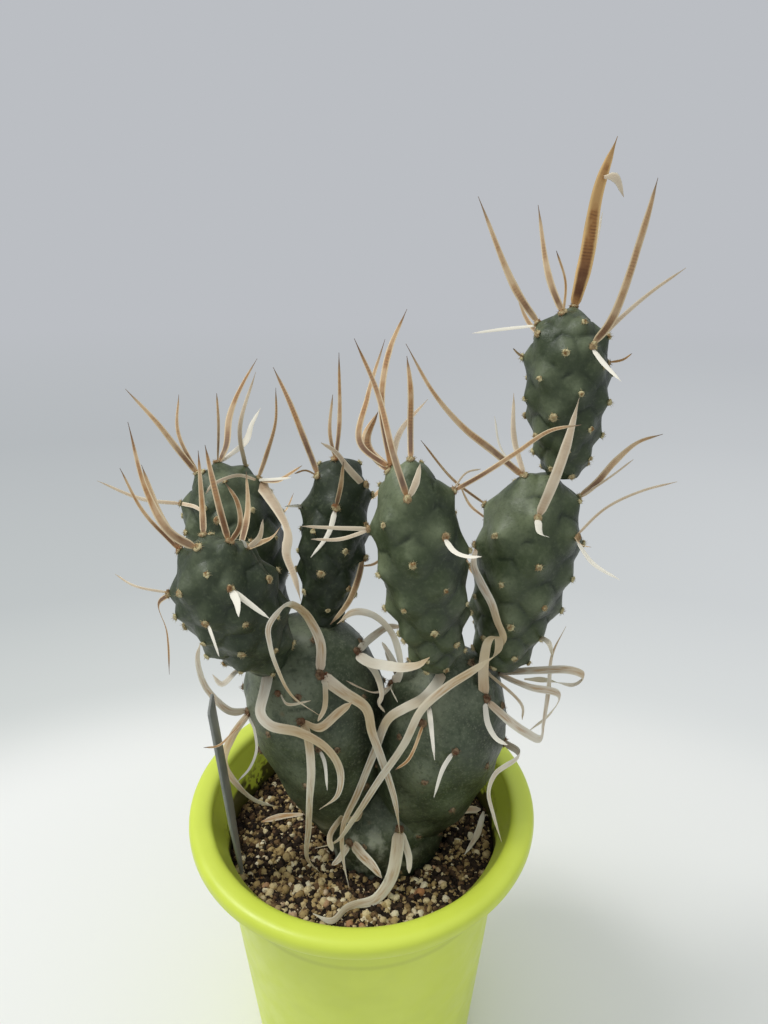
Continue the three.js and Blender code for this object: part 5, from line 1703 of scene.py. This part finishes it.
@dataclass
class Soil:
    """Peat that fills the pot, with grit and crumbs on it."""

    pot: Pot
    gap: float = 0.35
    rings: int = 60
    sides: int = 128
    hole_radius: float = 22.4
    hole_floor: float = 82.8
    bed_reach: int = 48
    bed_step: int = 2
    bed_radius: float = 47.2
    finish: EarthFinish = EarthFinish()
    grain_finish: GrainFinish = GrainFinish()

    def body(self) -> None:
        """Makes the filling, with its stem hole."""
        low, inner = self.pot.floor + self.gap, self.pot.floor + self.pot.foot_round + self.gap
        edge = self.pot.wall_radius(SOIL_LEVEL) - self.pot.wall - self.gap
        outline = [(0, low), (self.pot.foot_radius - self.pot.wall, low),
                   (self.pot.wall_radius(inner) - self.pot.wall - self.gap, inner)]
        outline += [(edge * (1 - k / self.rings), SOIL_LEVEL) for k in range(self.rings + 1)]
        filling = lathe("peat_filling", outline, self.sides)
        for point in filling.data.vertices:
            if point.co.z > (SOIL_LEVEL - 1) * MM:
                point.co.z = soil_height(point.co.x / MM, point.co.y / MM) * MM
        bore(filling, JOINT["base"].base[:2], self.hole_radius, self.hole_floor, SOIL_LEVEL + 8, 64)
        settle(dress(filling, self.finish.make()), "soil_mix", "soil")

    def grain_recipe(self, material: bpy.types.Material) -> GeometryRecipe:
        """Geometry nodes that scatter grains over the top and half sink them."""
        steps = GeometryRecipe("grains")
        density, small, large, dark, pale = steps.sizes("Density", "Smallest", "Largest", "Darkest", "Palest")
        seed, cuts = steps.sizes("Seed", "Cuts", kind="Int")
        points = steps.scatter(steps.start, density * steps.read("share"), seed)[0]
        cube = steps.get("GeometryNodeMeshCube", {0: (1.0, 1.0, 1.0)})
        rounded = steps.get("GeometryNodeSubdivisionSurface", {"Mesh": cube, "Level": cuts})
        turn = steps.random((0.0, 0.0, 0.0), (6.3, 6.3, 6.3), seed, "FLOAT_VECTOR")
        draw = steps.math("POWER", steps.random(0.0, 1.0, seed + 1.0), 3.0)
        size = steps.get("ShaderNodeMapRange", {"Value": draw, "To Min": small, "To Max": large}, "Result")
        squash = steps.random((0.75, 0.75, 0.6), (1.25, 1.1, 1.0), seed + 2.0, "FLOAT_VECTOR")
        placed = steps.copies(points, rounded, turn, Scale=steps.scaled(squash, size))
        toned = steps.store(placed, "tone", steps.random(dark, pale, seed + 4.0), "INSTANCE")
        cloud = (steps.noise(700.0, 2.0) - 0.5) * (small * 1.7)
        return steps.finish(steps.moved(steps.real(toned), steps.normal, cloud), material)

    def bed(self, name: str, keep_off: float, even: float) -> bpy.types.Object:
        """The soil's top round the stem, as a sheet to scatter grains on.

        Args:
            name: the object's name.
            keep_off: how far it stays from the stem and the wall.
            even: 1 for as many grains everywhere, 0 for nearly all of them in front and on the left.

        Returns:
            The object. Its points carry their share of the grains.
        """
        base = JOINT["base"]
        marks = range(-self.bed_reach, self.bed_reach + 1, self.bed_step)
        points = [(x, y, soil_height(x, y)) for x in marks for y in marks]
        rows = len(marks)
        half = self.bed_step / 2
        faces = []
        for i in range(rows - 1):
            for j in range(rows - 1):
                x, y = marks[i] + half, marks[j] + half
                clear_of_stem = math.hypot(x - base.foot.x, y - base.foot.y) > base.radius + keep_off
                if clear_of_stem and math.hypot(x, y) < self.bed_radius - keep_off:
                    low = i * rows + j
                    faces.append((low, low + rows, low + rows + 1, low + 1))
        piece = mesh_object(name, points, faces)
        carry(piece, "share", [mix(smooth(6, 40, -y - 0.3 * x + 9 * math.sin(x / 5 + y / 8)), 1.0, even)
                               for x, y, z in points])
        return piece

    def build(self) -> None:
        """Makes the filling, the grit and the crumbs."""
        self.body()
        recipe = self.grain_recipe(self.grain_finish.make())
        settle(recipe.run(self.bed("pumice_grit", 1.2, 0.26), {
            "Density": 5.2e5, "Smallest": 0.9 * MM, "Largest": 4.4 * MM, "Darkest": 0.6, "Palest": 1.0,
            "Seed": 11, "Cuts": 1}), "soil_mix")
        settle(recipe.run(self.bed("peat_crumbs", 0.5, 1.0), {
            "Density": 1.6e6, "Smallest": 0.5 * MM, "Largest": 2.1 * MM, "Darkest": 0.0, "Palest": 0.68,
            "Seed": 23, "Cuts": 0}), "soil_mix")


@dataclass
class PlantLabel:
    """A blank strip, pushed in beside the wall and leaning out over the rim."""

    width: float = 11
    thickness: float = 0.9
    point: float = 34
    turn: float = 0.12
    buried: float = 8
    at_soil: tuple[float, float, float] = (-41, -17.3, SOIL_LEVEL)
    top: tuple[float, float, float] = (-46.2, -14, 166)
    corner: float = 0.8
    edge: float = 0.2
    finish: LabelFinish = LabelFinish()

    def build(self) -> None:
        """Makes the label."""
        foot = Vector(self.at_soil)
        lean = Vector(self.top) - foot
        reach = lean.length
        lean.normalize()
        across = Vector((-math.sin(self.turn), math.cos(self.turn), 0))
        across = (across - lean * across.dot(lean)).normalized()
        face = across.cross(lean)
        half, soft = self.width / 2, self.corner
        shoulder = self.point - self.buried
        outline = [(0, -self.buried), (half, shoulder), (half, reach - soft), (half - soft, reach),
                   (soft - half, reach), (-half, reach - soft), (-half, shoulder)]
        points = [foot + across * x + lean * y + face * z
                  for z in (-self.thickness / 2, self.thickness / 2) for x, y in outline]
        count = len(outline)
        faces = [tuple(range(count))[::-1], tuple(range(count, 2 * count))]
        faces += [(k, (k + 1) % count, count + (k + 1) % count, count + k) for k in range(count)]
        label = face_out(mesh_object("label_strip", points, faces))
        edge = label.modifiers.new("edge", "BEVEL")
        edge.width, edge.segments = self.edge * MM, 2
        settle(dress(label, self.finish.make()), "label_plastic", "plant_label")


@dataclass
class Studio:
    """Pale table, soft light from the upper left, and the camera at the photo's angle."""

    table: TableFinish = TableFinish()
    table_reach: float = 30000
    table_drop: float = 0.05
    sky: Colour = (0.93, 0.97, 1.0)
    sky_low: float = 0.37
    sky_high: float = 0.9
    backdrop: Colour = (0.497, 0.515, 0.546)
    lamp_place: tuple[float, float, float] = (-0.93, 0.0, 1.5)
    lamp_aim: tuple[float, float, float] = (0, 0, 0.12)
    lamp_size: float = 0.5
    lamp_power: float = 13.0
    camera_place: tuple[float, float, float] = (7.7, -207.1, 318.0)
    pitch_down: float = 24.29
    focal_pixels: float = 769
    image_height: float = 1024
    sensor: float = 36

    def floor(self) -> None:
        """Lays the table."""
        far, low = self.table_reach, -self.table_drop
        table = mesh_object("table", [(-far, -far, low), (far, -far, low), (far, far, low), (-far, far, low)],
                            [(0, 1, 2, 3)])
        dress(table, self.table.make())

    def surroundings(self) -> None:
        """Soft light that grows towards the top, behind a plain grey that the camera sees."""
        world = bpy.data.worlds.new("plain_surroundings")
        world.use_nodes = True
        steps = Steps(world.node_tree)
        light = steps.tree.nodes["Background"]
        up = steps.parts(steps.get("ShaderNodeTexCoord", output="Generated"))[2]
        fall = steps.get("ShaderNodeMapRange", {
            "Value": up, "To Min": self.sky_low, "To Max": self.sky_high}, "Result")
        steps.fill(light.inputs["Color"], self.sky)
        steps.fill(light.inputs["Strength"], fall)
        seen = steps.get("ShaderNodeBackground", {"Color": self.backdrop})
        straight = steps.get("ShaderNodeLightPath", output="Is Camera Ray")
        both = steps.get("ShaderNodeMixShader", {0: straight, 1: Value(steps, light.outputs[0]), 2: seen})
        steps.fill(steps.tree.nodes["World Output"].inputs[0], both)
        bpy.context.scene.world = world
        bpy.context.scene.view_settings.view_transform = "Standard"

    def lamp(self) -> None:
        """Hangs a square soft light, in metres and watts."""
        light = bpy.data.lights.new("key", "AREA")
        light.size, light.energy = self.lamp_size, self.lamp_power
        lamp = bpy.data.objects.new("key", light)
        lamp.location = self.lamp_place
        aim = Vector(self.lamp_aim) - Vector(self.lamp_place)
        lamp.rotation_euler = aim.to_track_quat("-Z", "Y").to_euler()
        bpy.context.scene.collection.objects.link(lamp)

    def camera(self) -> None:
        """Sets the camera."""
        lens = bpy.data.cameras.new("photo_view")
        lens.sensor_width = self.sensor
        lens.lens = self.focal_pixels / self.image_height * self.sensor
        lens.clip_start, lens.clip_end = 0.01, 20
        eye = bpy.data.objects.new("photo_view", lens)
        eye.location = Vector(self.camera_place) * MM
        eye.rotation_euler = (math.radians(90 - self.pitch_down), 0, 0)
        bpy.context.scene.collection.objects.link(eye)
        bpy.context.scene.camera = eye

    def build(self) -> None:
        """Sets the table, the light, the surroundings and the camera."""
        self.floor()
        self.surroundings()
        self.lamp()
        self.camera()


def main() -> None:
    """Builds the scene in order and reports each piece."""
    logging.basicConfig(level=logging.INFO, format="%(name)s %(message)s")
    make_effects()
    Studio().build()
    pot = Pot()
    pot.build()
    Soil(pot).build()
    PlantLabel().build()
    spines = Spines()
    spines.grow()
    Stem().build()
    spines.build(PaperFinish().make())


if __name__ == "__main__":
    main()
